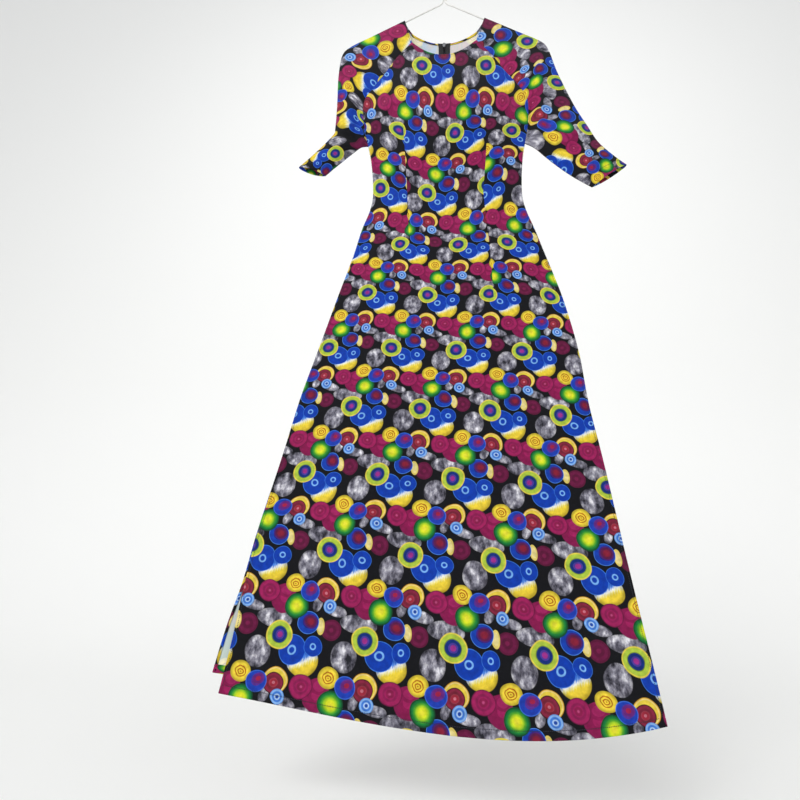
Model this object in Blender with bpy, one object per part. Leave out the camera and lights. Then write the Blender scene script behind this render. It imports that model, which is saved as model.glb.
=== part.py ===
"""An ao dai tunic hanging on a coated wire hanger: a front panel, two back halves closed by a zip,
two raglan sleeves, the zip's tapes, slider and pull tab, and the hanger.

Metres, +Z up. The front faces -Y and the wearer's left is +X. The origin is the inside top of the
hanger's hook, where a rail carries it. Every "drop" is measured down from the hanger's fork."""

import math
from collections import namedtuple

import bmesh
import bpy
from mathutils import Vector

# Driving dimensions.
CLOTH = 0.0012  # wall of the crepe and its turned edges
GAP = 0.0003  # clearance between neighbouring pieces
SEAM_INSET = 0.0003  # how far each piece's edge stays back from a raglan seam line
FORK_BELOW_HOOK = 0.088  # from the hook's inside top to where the hanger's two arms part

WIRE_RADIUS = 0.0017
HOOK_RADIUS = 0.0197  # of the wire's centre line
ARM_START_DROP = 0.0085  # where the arm's straight line would cross the hanger's middle
ARM_SLOPE = 0.59
BAR_DROP = 0.154
HANGER_HALF_WIDTH = 0.2025
RIDGE = 0.003  # the wire's centre lies this far under the cloth folded over it
TWIST_TURNS = 4
TWIST_PITCH = 0.0039

PANEL_COLUMNS = 16
STEPS_PER_ROW = 2  # sections built for each row of a table, down to the underarm

TAPE = 0.0006  # the zip tape's wall
TAPE_STAND_OFF = 0.0001  # added to the gap, as the back's facets cut inside its curve
TAPE_WIDTH = 0.012
TAPE_ROWS = 11  # how many rows of the back table the zip runs down
ZIP_MOUTH = 0.0018  # half the gap that the slider's neck stands in, at the neck edge
PULL_LENGTH = 0.024  # from the pull tab's axis down to its end

Row = namedtuple("Row", "name centre_drop side_drop half_width sway side_depth centre_depth tilt")
# Down to the underarm a row's sides lie on the raglan seams, and below it on the side seams.
# Sway is the row's offset to the wearer's left, and tilt how much lower the cloth hangs there.
LIE = (CLOTH + GAP) / 2  # depth of a panel that lies against its fellow along a seam
UNDERARM = 6  # the row at the bottom of the armholes

FRONT_ROWS = [
    Row("neck edge", 0.164, 0.120, 0.067, 0.000, 0.008, 0.016, 0.0),
    Row("yoke", 0.187, 0.163, 0.099, 0.001, 0.010, 0.020, 0.0),
    Row("upper chest", 0.213, 0.203, 0.122, 0.002, 0.011, 0.025, 0.0),
    Row("chest", 0.242, 0.237, 0.145, 0.003, 0.011, 0.029, 0.0),
    Row("raglan corner", 0.273, 0.272, 0.164, 0.004, 0.009, 0.032, 0.0),
    Row("armhole", 0.324, 0.324, 0.163, 0.006, 0.005, 0.034, 0.0),
    Row("underarm", 0.372, 0.372, 0.1545, 0.008, LIE, 0.032, 0.0),
    Row("under bust", 0.425, 0.425, 0.146, 0.010, LIE, 0.023, 0.0),
    Row("waist", 0.485, 0.485, 0.143, 0.012, LIE, 0.014, 0.0),
    Row("below waist", 0.520, 0.520, 0.1485, 0.013, LIE, 0.013, 0.0),
    Row("high hip", 0.563, 0.563, 0.163, 0.014, LIE, 0.014, 0.0),
    Row("slit top", 0.626, 0.626, 0.181, 0.017, LIE, 0.015, 0.0),
    Row("hip", 0.708, 0.708, 0.205, 0.0185, 0.002, 0.014, 0.0),
    Row("thigh", 0.805, 0.805, 0.229, 0.0165, 0.003, 0.013, 0.0),
    Row("knee 1", 0.898, 0.898, 0.248, 0.010, 0.003, 0.012, 0.002),
    Row("knee 2", 0.986, 0.986, 0.266, 0.009, 0.003, 0.011, 0.004),
    Row("shin 1", 1.070, 1.070, 0.283, 0.007, 0.003, 0.010, 0.006),
    Row("shin 2", 1.155, 1.150, 0.29875, 0.00525, 0.003, 0.010, 0.009),
    Row("shin 3", 1.240, 1.227, 0.31125, 0.00675, 0.003, 0.009, 0.012),
    Row("above hem", 1.330, 1.305, 0.3235, 0.0095, 0.003, 0.009, 0.015),
    Row("hem", 1.416, 1.384, 0.337, 0.010, 0.003, 0.008, 0.016),
]

BACK_ROWS = [
    Row("neck edge", 0.097, 0.082, 0.068, 0.000, 0.008, 0.022, 0.0),
    Row("yoke", 0.126, 0.120, 0.083, 0.001, 0.010, 0.023, 0.0),
    Row("shoulder blade", 0.165, 0.162, 0.104, 0.002, 0.011, 0.024, 0.0),
    Row("upper back", 0.210, 0.208, 0.131, 0.003, 0.011, 0.024, 0.0),
    Row("raglan corner", 0.264, 0.264, 0.161, 0.004, 0.009, 0.024, 0.0),
    Row("armhole", 0.324, 0.324, 0.163, 0.006, 0.005, 0.023, 0.0),
    Row("underarm", 0.372, 0.372, 0.1545, 0.008, LIE, 0.021, 0.0),
    Row("mid back", 0.425, 0.425, 0.146, 0.010, LIE, 0.015, 0.0),
    Row("waist", 0.485, 0.485, 0.143, 0.012, LIE, 0.010, 0.0),
    Row("below waist", 0.520, 0.520, 0.1485, 0.013, LIE, 0.010, 0.0),
    Row("high hip", 0.563, 0.563, 0.163, 0.014, LIE, 0.011, 0.0),
    Row("slit top", 0.626, 0.626, 0.181, 0.017, LIE, 0.012, 0.0),
    Row("hip", 0.708, 0.708, 0.206, 0.0185, 0.002, 0.011, 0.0),
    Row("thigh", 0.805, 0.805, 0.230, 0.0165, 0.003, 0.010, 0.0),
    Row("knee 1", 0.898, 0.898, 0.249, 0.010, 0.003, 0.009, 0.002),
    Row("knee 2", 0.986, 0.986, 0.267, 0.009, 0.003, 0.008, 0.004),
    Row("shin 1", 1.068, 1.068, 0.284, 0.006, 0.003, 0.007, 0.006),
    Row("shin 2", 1.148, 1.144, 0.29975, 0.00425, 0.003, 0.007, 0.009),
    Row("shin 3", 1.226, 1.215, 0.3135, 0.004, 0.003, 0.007, 0.012),
    Row("above hem", 1.306, 1.284, 0.3285, 0.001, 0.003, 0.006, 0.015),
    Row("hem", 1.386, 1.354, 0.340, -0.002, 0.003, 0.006, 0.016),
]

# A sleeve's sections run from its fold, over the hanger's arm, down to the raglan seam, and past
# the underarm from the outer fold to the sleeve's own seam. x is measured outwards.
Fold = namedtuple("Fold", "name x drop puff")
Arm = namedtuple("Arm", "name x drop seam_x seam_drop puff")

RIGHT_FOLDS = [  # the wearer's right sleeve hangs straight, then kicks out above its cuff
    Fold("neck edge", 0.085, None, 0.001),
    Fold("yoke", 0.120, None, 0.003),
    Fold("upper chest", 0.155, None, 0.004),
    Fold("chest", 0.197, None, 0.005),
    Fold("raglan corner", 0.2135, 0.143, 0.007),
    Fold("armhole", 0.218, 0.196, 0.009),
    Fold("underarm", 0.216, 0.270, 0.011),
]
RIGHT_ARM = [
    Arm("above the bend", 0.216, 0.325, 0.161, 0.374, 0.012),
    Arm("bend", 0.2195, 0.345, 0.176, 0.387, 0.013),
    Arm("forearm", 0.254, 0.388, 0.208, 0.418, 0.010),
    Arm("cuff", 0.286, 0.422, 0.230, 0.441, 0.007),
]
LEFT_FOLDS = [  # the wearer's left sleeve swings out in one long line
    Fold("neck edge", 0.085, None, 0.001),
    Fold("yoke", 0.120, None, 0.003),
    Fold("upper chest", 0.155, None, 0.004),
    Fold("chest", 0.197, None, 0.005),
    Fold("raglan corner", 0.2135, 0.143, 0.007),
    Fold("armhole", 0.230, 0.202, 0.009),
    Fold("underarm", 0.258, 0.280, 0.011),
]
LEFT_ARM = [
    Arm("upper arm", 0.284, 0.336, 0.182, 0.384, 0.013),
    Arm("bend", 0.303, 0.374, 0.209, 0.412, 0.012),
    Arm("forearm", 0.330, 0.405, 0.248, 0.447, 0.009),
    Arm("cuff", 0.355, 0.428, 0.2905, 0.4765, 0.007),
]
# Across a section, from the fold: the first points close round the wire, the rest share the length.
RIDGE_POINTS = [(0.0, 0.0), (0.0012, 0.0024), (0.0042, 0.0033)]  # distance from the fold, depth
SECTION_SHARES = [0.12, 0.28, 0.46, 0.64, 0.82, 1.0]


def between(a, b, c, d, t):
    """The smooth curve through b and c, at t from 0 to 1, that a and d lead into."""
    return 0.5 * (
        2 * b + (c - a) * t + (2 * a - 5 * b + 4 * c - d) * t**2 + (3 * b - a - 3 * c + d) * t**3
    )


def blended_rows(rows, steps):
    """The table's rows with steps sections for each, smoothly blended between them."""
    found = []
    for index in range(len(rows) - 1):
        four = [rows[min(max(index + k, 0), len(rows) - 1)] for k in (-1, 0, 1, 2)]
        for step in range(steps):
            numbers = [between(*(row[k] for row in four), step / steps) for k in range(1, len(four[0]))]
            found.append(type(four[1])(four[1].name, *numbers))
    return found + [rows[-1]]


def with_more_rows_above(rows):
    """The rows of a panel: finer down to the underarm, where the raglan seams curve."""
    top = blended_rows(rows, STEPS_PER_ROW)[: UNDERARM * STEPS_PER_ROW]
    return top + rows[UNDERARM:]


def panel_point(row, across, side):
    """The point of a panel's middle surface at across, -1 to 1; side is -1 in front and 1 behind."""
    crown = 1 - across**2
    drop = row.side_drop + (row.centre_drop - row.side_drop) * crown
    drop += row.tilt * across * (1.3 - across**2)
    depth = row.side_depth + (row.centre_depth - row.side_depth) * crown
    return Vector((row.sway + across * row.half_width, side * depth, -FORK_BELOW_HOOK - drop))


def new_object(name, mesh, colour, roughness, metallic=0.0):
    material = bpy.data.materials.new(name)
    material.use_nodes = True
    shader = material.node_tree.nodes["Principled BSDF"]
    shader.inputs["Base Color"].default_value = (*colour, 1)
    shader.inputs["Roughness"].default_value = roughness
    shader.inputs["Metallic"].default_value = metallic
    obj = bpy.data.objects.new(name, mesh)
    obj.data.materials.append(material)
    bpy.context.scene.collection.objects.link(obj)
    return obj


def sheet(name, rows, wall, colour, roughness=0.75):
    """A cloth wall through rows of points, one list of points for each section."""
    shape = bmesh.new()
    bmesh.ops.create_grid(shape, x_segments=len(rows[0]) - 1, y_segments=len(rows) - 1, size=1)
    shape.verts.ensure_lookup_table()
    for index, point in enumerate(point for row in rows for point in row):
        shape.verts[index].co = point
    bmesh.ops.triangulate(shape, faces=shape.faces)
    mesh = bpy.data.meshes.new(name)
    shape.to_mesh(mesh)
    shape.free()
    mesh.shade_smooth()
    obj = new_object(name, mesh, colour, roughness)
    thickness = obj.modifiers.new("wall", "SOLIDIFY")
    thickness.thickness = wall
    thickness.offset = 0
    return obj


def inset_edges(points, row_index, last_raglan):
    """Keeps a panel's sides back from the raglan seam lines."""
    if row_index <= last_raglan:
        points[0].x += SEAM_INSET
        points[-1].x -= SEAM_INSET
    return points


def front_panel(rows):
    last_raglan = UNDERARM * STEPS_PER_ROW
    sections = []
    for index, row in enumerate(rows):
        shares = [2 * k / PANEL_COLUMNS - 1 for k in range(PANEL_COLUMNS + 1)]
        points = [panel_point(row, share, -1) for share in shares]
        sections.append(inset_edges(points, index, last_raglan))
    sheet("front_panel", sections, CLOTH, (0.07, 0.05, 0.16))


def zip_edge(row_index):
    """How far a back half's zip edge stands off the centre line: it opens a little at the slider."""
    return ZIP_MOUTH if row_index == 0 else GAP / 2


def back_half(name, rows, way):
    """One back half, from the centre seam to the side; way is 1 for the wearer's left."""
    last_raglan = UNDERARM * STEPS_PER_ROW
    columns = PANEL_COLUMNS // 2
    sections = []
    for index, row in enumerate(rows):
        points = [panel_point(row, way * k / columns, 1) for k in range(columns + 1)]
        points[0].x += way * zip_edge(index)
        if index <= last_raglan:
            points[-1].x -= way * SEAM_INSET
        sections.append(points)
    sheet(name, sections, CLOTH, (0.10, 0.04, 0.13))


def zip_tape(name, rows, way):
    """A zip tape on the inside of a back half, made from the half's own surface moved in."""
    inwards = Vector((0, -(CLOTH / 2 + GAP + TAPE_STAND_OFF + TAPE / 2), 0))
    last = (UNDERARM * STEPS_PER_ROW) + (TAPE_ROWS - UNDERARM)
    sections = []
    for index, row in enumerate(rows[:last]):
        edges = (zip_edge(index) + TAPE_STAND_OFF, TAPE_WIDTH)
        sections.append([panel_point(row, way * edge / row.half_width, 1) + inwards for edge in edges])
    sheet(name, sections, TAPE, (0.012, 0.012, 0.014), 0.6)


def fold_drop(fold):
    """A fold with no drop of its own lies on the hanger's arm."""
    if fold.drop is not None:
        return fold.drop
    lift = RIDGE * math.hypot(1, ARM_SLOPE)
    return ARM_START_DROP + ARM_SLOPE * fold.x - lift


def sleeve_section(fold_point, seam_point, puff, side):
    """Points from just past the fold to the seam, on the front (side -1) or the back."""
    run = seam_point - fold_point
    run.y = 0
    length = run.length
    ridge_depth = RIDGE_POINTS[-1][1]
    seam_depth = abs(seam_point.y)
    stations = [(distance / length, depth) for distance, depth in RIDGE_POINTS[1:]]
    stations += [
        (share, ridge_depth + (seam_depth - ridge_depth) * share + 4 * puff * share * (1 - share))
        for share in SECTION_SHARES
    ]
    return [fold_point + run * share + Vector((0, side * depth, 0)) for share, depth in stations]


def sleeve(name, way, folds, arm, front_rows, back_rows):
    """A raglan sleeve, one sheet from its front seam over the fold to its back seam."""
    folds = [fold._replace(drop=fold_drop(fold)) for fold in folds]
    seams_in_front = [panel_point(row, way, -1) for row in front_rows[: len(folds) * 2 - 1]]
    seams_behind = [panel_point(row, way, 1) for row in back_rows[: len(folds) * 2 - 1]]
    last = folds[-1]
    sections = []
    for index, fold in enumerate(blended_rows(folds, STEPS_PER_ROW)):
        fold_point = Vector((way * fold.x, 0, -FORK_BELOW_HOOK - fold.drop))
        halves = []
        for seam, side in ((seams_in_front[index], -1), (seams_behind[index], 1)):
            seam = seam + Vector((way * SEAM_INSET, 0, 0))
            halves.append(sleeve_section(fold_point, seam, fold.puff, side))
        sections.append(halves[0][::-1] + [fold_point] + halves[1])
    underarm = seams_in_front[-1]
    start = Arm("underarm", last.x, last.drop, way * underarm.x, -underarm.z - FORK_BELOW_HOOK, last.puff)
    for row in blended_rows([start, *arm], STEPS_PER_ROW)[1:]:
        fold_point = Vector((way * row.x, 0, -FORK_BELOW_HOOK - row.drop))
        seam_x, seam_z = way * row.seam_x, -FORK_BELOW_HOOK - row.seam_drop
        front = sleeve_section(fold_point, Vector((seam_x, -LIE, seam_z)), row.puff, -1)
        back = sleeve_section(fold_point, Vector((seam_x, LIE, seam_z)), row.puff, 1)
        sections.append(front[::-1] + [fold_point] + back)
    sheet(name, sections, CLOTH, (0.16, 0.03, 0.10))


def arc(centre_x, centre_drop, radius, start, end, count):
    """Points of an arc in the hanger's plane, angles in degrees, 0 outwards and 90 up."""
    angles = [math.radians(start + (end - start) * k / count) for k in range(count + 1)]
    return [(centre_x + radius * math.cos(a), 0, centre_drop - radius * math.sin(a)) for a in angles]


def hanger_route():
    """(x, y, drop) of the wire's centre line: hook, stem, right arm, bar, left arm and twist."""
    hook_centre = HOOK_RADIUS - WIRE_RADIUS - FORK_BELOW_HOOK
    hook = arc(0, hook_centre, HOOK_RADIUS, 205, -48, 20)
    stem = [(0.0072, 0, -0.0485), (0.0028, 0, -0.0430), (0.0005, 0, -0.0370), (0, 0, -0.0310), (0, 0, 0)]
    fork = [(0.0006, 0, 0.0045), (0.0025, 0, 0.0090), (0.0060, 0, 0.0130), (0.0110, 0, 0.0158)]
    # The corner is an arc that touches the arm's line and the bar's.
    tilt = math.atan(ARM_SLOPE)
    lean = 1 + 1 / math.cos(tilt)
    radius = ((BAR_DROP - ARM_START_DROP) / ARM_SLOPE - HANGER_HALF_WIDTH) / (lean / ARM_SLOPE - 1)
    centre = (HANGER_HALF_WIDTH - radius, BAR_DROP - radius)
    corner = arc(*centre, radius, 90 - math.degrees(tilt), -90, 10)
    arm = [(x, 0, ARM_START_DROP + ARM_SLOPE * x) for x in (0.017, 0.07, 0.13)]
    half = arm + corner
    other = [(-x, y, drop) for x, y, drop in reversed(half)]
    rise = [(-0.0105, 0, 0.0150), (-0.0070, 0, 0.0118), (-0.0050, 0, 0.0075), (-0.0041, 0, 0.0030)]
    coil = 2 * WIRE_RADIUS + GAP
    twist = []
    for k in range(TWIST_TURNS * 10 + 1):
        turn = math.radians(180 + 36 * k)
        twist.append((coil * math.cos(turn), coil * math.sin(turn), -0.0012 - TWIST_PITCH * k / 10))
    return hook + stem + fork + half + other + rise + twist


def hanger():
    route = hanger_route()
    curve = bpy.data.curves.new("hanger", "CURVE")
    curve.dimensions = "3D"
    curve.bevel_depth = WIRE_RADIUS
    curve.bevel_resolution = 2
    curve.use_fill_caps = True
    line = curve.splines.new("POLY")
    line.points.add(len(route) - 1)
    for point, (x, y, drop) in zip(line.points, route):
        point.co = (x, y, -FORK_BELOW_HOOK - drop, 1)
    new_object("hanger", curve, (0.86, 0.86, 0.84), 0.35)


def box_mesh(name, low, high):
    """A box between two corners."""
    shape = bmesh.new()
    bmesh.ops.create_cube(shape, size=1)
    low, high = Vector(low), Vector(high)
    bmesh.ops.scale(shape, vec=high - low, verts=shape.verts)
    bmesh.ops.translate(shape, vec=(low + high) / 2, verts=shape.verts)
    mesh = bpy.data.meshes.new(name)
    shape.to_mesh(mesh)
    shape.free()
    return mesh


def joined(target, low, high, operation):
    """Adds a box to the target, or cuts one from it."""
    name = f"{target.name}_{operation.lower()}_{len(target.modifiers)}"
    helper = bpy.data.objects.new(name, box_mesh(name, low, high))
    bpy.context.scene.collection.objects.link(helper)
    helper.hide_render = True
    helper.display_type = "WIRE"
    helper.parent = target
    change = target.modifiers.new(name, "BOOLEAN")
    change.object = helper
    change.operation = operation


def zip_slider_and_pull(neck_row):
    """The slider stands at the closed zip's top, and its tab hangs from a bail outside the back."""
    neck = panel_point(neck_row, 0, 1)
    x, top = neck.x, neck.z
    inside = neck.y - CLOTH / 2 - 2 * GAP - TAPE_STAND_OFF - TAPE
    outside = neck.y + CLOTH / 2 + GAP
    axis = Vector((x, outside + 0.0024, top - 0.0042))
    metal = ((0.36, 0.36, 0.37), 0.35, 0.9)

    body = box_mesh("zip_slider", (x - 0.0032, inside - 0.0022, top - 0.0105), (x + 0.0032, inside, top))
    slider = new_object("zip_slider", body, *metal)
    neck_low = (x - 0.0008, inside - 0.0004, top - 0.0052)
    joined(slider, neck_low, (x + 0.0008, outside + 0.0004, top - 0.0022), "UNION")
    joined(slider, (x - 0.0022, outside, top - 0.0078), (x + 0.0022, outside + 0.0010, top - 0.0010), "UNION")
    bail = Vector((0.0006, 0.0022, 0.0022))
    bail_low = axis - bail
    bail_low.y = outside + 0.0006
    joined(slider, bail_low, axis + bail, "UNION")
    eye = Vector((0.002, 0.0012, 0.0012))
    joined(slider, axis - eye, axis + eye, "DIFFERENCE")

    tab = box_mesh("zip_pull", (-0.0023, -0.0006, -PULL_LENGTH), (0.0023, 0.0006, 0.0005))
    pull = new_object("zip_pull", tab, *metal)
    pull.location = axis
    joined(pull, (-0.0012, -0.002, -0.0036), (0.0012, 0.002, -0.0005), "DIFFERENCE")
    print("pull tab's axis:", [round(value, 5) for value in axis])


def build():
    for obj in list(bpy.data.objects):
        bpy.data.objects.remove(obj)
    front_rows = with_more_rows_above(FRONT_ROWS)
    back_rows = with_more_rows_above(BACK_ROWS)
    front_panel(front_rows)
    for side, way in (("left", 1), ("right", -1)):
        back_half(f"back_{side}", back_rows, way)
        zip_tape(f"zip_tape_{side}", back_rows, way)
    sleeve("sleeve_left", 1, LEFT_FOLDS, LEFT_ARM, front_rows, back_rows)
    sleeve("sleeve_right", -1, RIGHT_FOLDS, RIGHT_ARM, front_rows, back_rows)
    zip_slider_and_pull(BACK_ROWS[0])
    hanger()


build()
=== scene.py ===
# %% [markdown]
# # A printed tunic on its wire hanger
#
# This lesson dresses a tunic that is already built as a plain frame: a front, two back halves with a zip
# between them, two raglan sleeves and the hanger they hang on. The frame has the true sizes and the plain
# shapes. What it lacks is what makes cloth look like cloth: creases, turned edges, stitches, a print and
# its paler wrong side. Each cell below adds one of them.

import math
from collections import namedtuple

import bmesh
import bpy
from mathutils import Matrix, Vector


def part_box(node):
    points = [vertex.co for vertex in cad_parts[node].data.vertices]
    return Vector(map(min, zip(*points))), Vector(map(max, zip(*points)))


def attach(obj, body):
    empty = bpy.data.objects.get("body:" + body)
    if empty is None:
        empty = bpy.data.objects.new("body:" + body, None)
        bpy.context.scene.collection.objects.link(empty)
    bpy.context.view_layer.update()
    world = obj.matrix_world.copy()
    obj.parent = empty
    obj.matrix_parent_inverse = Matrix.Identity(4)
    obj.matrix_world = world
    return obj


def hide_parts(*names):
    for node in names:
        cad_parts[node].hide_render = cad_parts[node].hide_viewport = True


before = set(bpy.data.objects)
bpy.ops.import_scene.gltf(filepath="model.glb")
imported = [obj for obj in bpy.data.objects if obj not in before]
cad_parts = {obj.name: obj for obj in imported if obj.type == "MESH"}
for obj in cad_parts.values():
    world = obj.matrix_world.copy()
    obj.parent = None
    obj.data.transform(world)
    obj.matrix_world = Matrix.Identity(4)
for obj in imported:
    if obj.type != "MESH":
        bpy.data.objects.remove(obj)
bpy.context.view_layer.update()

# %% [markdown]
# ## The camera
#
# The tunic is seen from low down, near its hem, through a moderately wide lens, a little from the wearer's
# left. That is why the skirt looks wide and the shoulders small. The camera is set first, so that every
# piece can be judged through it as it is made. Its turn is three turns in a row: round the upright, up
# towards the shoulders, and a slight roll.

# %% Set the camera
VIEW_FROM = (0.0244, -0.9998, -1.2785)
TURN, TILT_UP, ROLL = 4.97, 16.23, 2.28  # degrees


def in_scene(name, data):
    """A new object in the scene, at the origin, that shows this data."""
    thing = bpy.data.objects.new(name, data)
    bpy.context.scene.collection.objects.link(thing)
    return thing


camera = in_scene("camera", bpy.data.cameras.new("camera"))
camera.data.lens = 27
camera.data.sensor_width = 36
camera.matrix_world = (
    Matrix.Translation(VIEW_FROM)
    @ Matrix.Rotation(math.radians(TURN), 4, "Z")
    @ Matrix.Rotation(math.radians(90 + TILT_UP), 4, "X")
    @ Matrix.Rotation(math.radians(ROLL), 4, "Z")
)
bpy.context.scene.camera = camera
print("camera at", VIEW_FROM, "with a", camera.data.lens, "mm lens")

# %% [markdown]
# ## Helpers for colours and nodes
#
# Colours are written as the hex values that a colour picker shows, and Blender's nodes want linear light,
# so one function turns the first into the second. Another adds a node, sets its properties and fills its
# inputs, either with a value or with a link from another node's output. A colour ramp's stops are neither
# a property nor an input, so the function takes them apart.

# %% Colours and nodes
def linear(code, alpha=1.0):
    """An sRGB hex colour as linear light."""
    channels = [int(code[k : k + 2], 16) / 255 for k in (0, 2, 4)]
    return [c / 12.92 if c <= 0.04045 else ((c + 0.055) / 1.055) ** 2.4 for c in channels] + [alpha]


def add(tree, kind, settings=(), inputs=(), stops=()):
    """Adds a node of this kind, with its settings, and with each input a value or another node's output. A
    colour ramp also gets stops of (position, colour), each colour in hex or in linear light."""
    node = tree.nodes.new("ShaderNode" + kind)
    for name, value in dict(settings).items():
        setattr(node, name, value)
    for key, value in dict(inputs).items():
        if isinstance(value, bpy.types.NodeSocket):
            tree.links.new(value, node.inputs[key])
        else:
            node.inputs[key].default_value = value
    if stops:
        elements = node.color_ramp.elements
        elements.remove(elements[1])
        elements[0].position = stops[0][0]
        for k, (position, colour) in enumerate(stops):
            element = elements.new(position) if k else elements[0]
            element.color = linear(colour) if isinstance(colour, str) else colour
    return node


def new_material(name, **values):
    """A Principled material with plain values on its sockets, and its node tree."""
    material = bpy.data.materials.new(name)
    material.use_nodes = True
    shader = material.node_tree.nodes["Principled BSDF"]
    for key, value in values.items():
        shader.inputs[key.replace("_", " ")].default_value = value
    return material, material.node_tree, shader


# %% [markdown]
# ## The print
#
# The crepe is printed with overlapping discs, ovals and blobs, in cobalt, yellow, lime, magenta, plum and
# marbled grey on a near-black ground. Such a print repeats in a half drop: each row of motifs is shifted by
# half a repeat. It is drawn here from a short chart. Each motif is a stretched circle, its distance from
# the centre runs through a colour ramp, and the ramp's alpha cuts it out, so that it covers what was
# painted before it.
#
# A chart is in repeats: 1 across is one repeat of the print and 1 down is one row. The coordinates come
# from the cloth's own UV map, so that the print bends with the cloth and is cut where the cloth is cut.

# %% Chart the print
INK = "0b0c12"  # the ground
COBALT, DEEP_BLUE, SKY = "073db0", "0a2878", "7db7f7"
YELLOW, GOLD, PALE_YELLOW = "f6da40", "e3ab2a", "efdd92"
LIME, OLIVE, GREEN, DARK_GREEN, GLOW = "b3cd45", "6f8a24", "17813a", "0c4a2b", "dfe827"
MAGENTA, CERISE, WINE = "8c154f", "a31d5d", "5f1139"
MAROON, BRICK, PINK = "782036", "a32a3e", "cf7486"
VIOLET, PLUM = "5a2f93", "5f1848"

# A motif's bands run from its centre to its edge: (where the band starts, its colour).
# Bands run into each other over a share of the motif's half width, its softness.
Motif = namedtuple("Motif", "name x y width height turn paint soft", defaults=(0.045,))
EYE = [(0.0, COBALT), (0.19, SKY), (0.31, COBALT), (0.945, "3a7ce0")]
SMALL_EYE = [(0.0, COBALT), (0.19, SKY), (0.34, COBALT), (0.93, "3a7ce0")]
LIGHT_EYE = [(0.0, "1747a8"), (0.24, "b9d8fb"), (0.4, "3f7bd8"), (0.7, "8fbcf2"), (0.9, "5a95e6")]
RINGED = [(0.0, PINK), (0.14, BRICK), (0.36, "9a3a4a"), (0.43, MAROON), (0.66, "8a2440"), (0.88, "4a1424")]

MOTIFS = [  # in the order of painting
    Motif("leaning leaf", 0.25, -0.04, 0.11, 0.17, 20, "marble"),
    Motif("lying oval", -0.24, 0.15, 0.44, 0.21, 6, "marble"),
    Motif("standing oval", -0.39, 0.51, 0.30, 0.34, 0, "marble"),
    Motif("grey fin", 0.48, 0.02, 0.28, 0.12, 12, "marble"),
    Motif("sun", 0.15, 0.58, 0.36, 0.34, 0, "sun"),
    Motif("big eye", 0.01, 0.47, 0.33, 0.33, 0, EYE),
    Motif("small eye", 0.25, 0.42, 0.22, 0.22, 0, SMALL_EYE),
    Motif(
        "wine disc", 0.45, 0.23, 0.24, 0.24, 0,
        [(0, "7c1a4a"), (0.2, WINE), (0.5, "6e1643"), (0.8, WINE)], 0.1,
    ),
    Motif("pale tab", 0.32, 0.20, 0.10, 0.20, -6, [(0, PALE_YELLOW), (0.7, "e6cf6a")]),
    Motif("blue disc", 0.17, 0.17, 0.26, 0.26, 0, [(0, DEEP_BLUE), (0.5, "1140b0"), (0.94, "4f90ee")]),
    Motif("plum heart", 0.195, 0.155, 0.19, 0.17, 20, [(0, "8a1d38"), (0.45, PLUM), (0.8, "3a2386")], 0.22),
    Motif("bell", -0.165, -0.075, 0.31, 0.35, -18, [(0, CERISE), (0.3, MAGENTA), (0.8, "86174f")]),
    Motif("bell shoulder", -0.14, -0.17, 0.23, 0.18, 0, [(0, "a3215f"), (0.6, MAGENTA)]),
    Motif(
        "magenta disc", -0.35, -0.155, 0.27, 0.27, 0,
        [(0, "c04a7e"), (0.1, "8d1a4c"), (0.34, CERISE), (0.42, "8d1a52"), (0.62, "a41f5d"), (0.9, "6a1240")],
        0.09,
    ),
    Motif(
        "glow", 0.0, 0.0, 0.29, 0.29, 0,
        [(0, "efe93a"), (0.2, GLOW), (0.39, "a8d42a"), (0.53, "52a82c"), (0.66, GREEN), (0.84, DARK_GREEN)],
        0.15,
    ),
    Motif("rose", -0.045, -0.265, 0.24, 0.23, 0, "rose"),
    Motif("crescent", 0.36, -0.20, 0.295, 0.295, 0, [(0, "efd248"), (0.84, "f0d98a"), (0.92, GOLD)]),
    Motif("ringed disc", 0.345, -0.17, 0.235, 0.235, 0, RINGED),
    Motif("swirl", 0.15, -0.18, 0.24, 0.24, 0, [(0, VIOLET), (0.45, "1d3fb4"), (0.9, "3a6fdd")]),
    Motif("swirl heart", 0.17, -0.205, 0.15, 0.13, -25, [(0, "a3204a"), (0.4, "6c2479"), (0.8, VIOLET)]),
    Motif("light eye", 0.40, -0.03, 0.16, 0.16, 0, LIGHT_EYE, 0.12),
    Motif(
        "lime ring", -0.16, 0.32, 0.32, 0.32, 0,
        [(0, "a0308c"), (0.2, "4b3a9c"), (0.33, "0d2f7d"), (0.55, OLIVE), (0.6, LIME), (0.88, "ecd84e")],
    ),
]
CELL_CENTRES = [(0, 0), (0.5, 0), (0, 0.5), (0.5, 0.5)]  # any motif lies well inside the cell round one
EDGE_SOFTNESS = 0.05  # of a motif's half width
WANDER = 0.045  # of a repeat: how far a motif's outline strays
print(len(MOTIFS), "motifs in the repeat")

# %% [markdown]
# A motif that crosses the edge of its repeat would be cut there. So the print is cut into cells four times,
# round four different centres, and each motif is painted in the cells that hold it whole. Inside a cell
# the coordinates run from -0.5 to 0.5 both ways, and an odd row starts half a repeat further.

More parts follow.
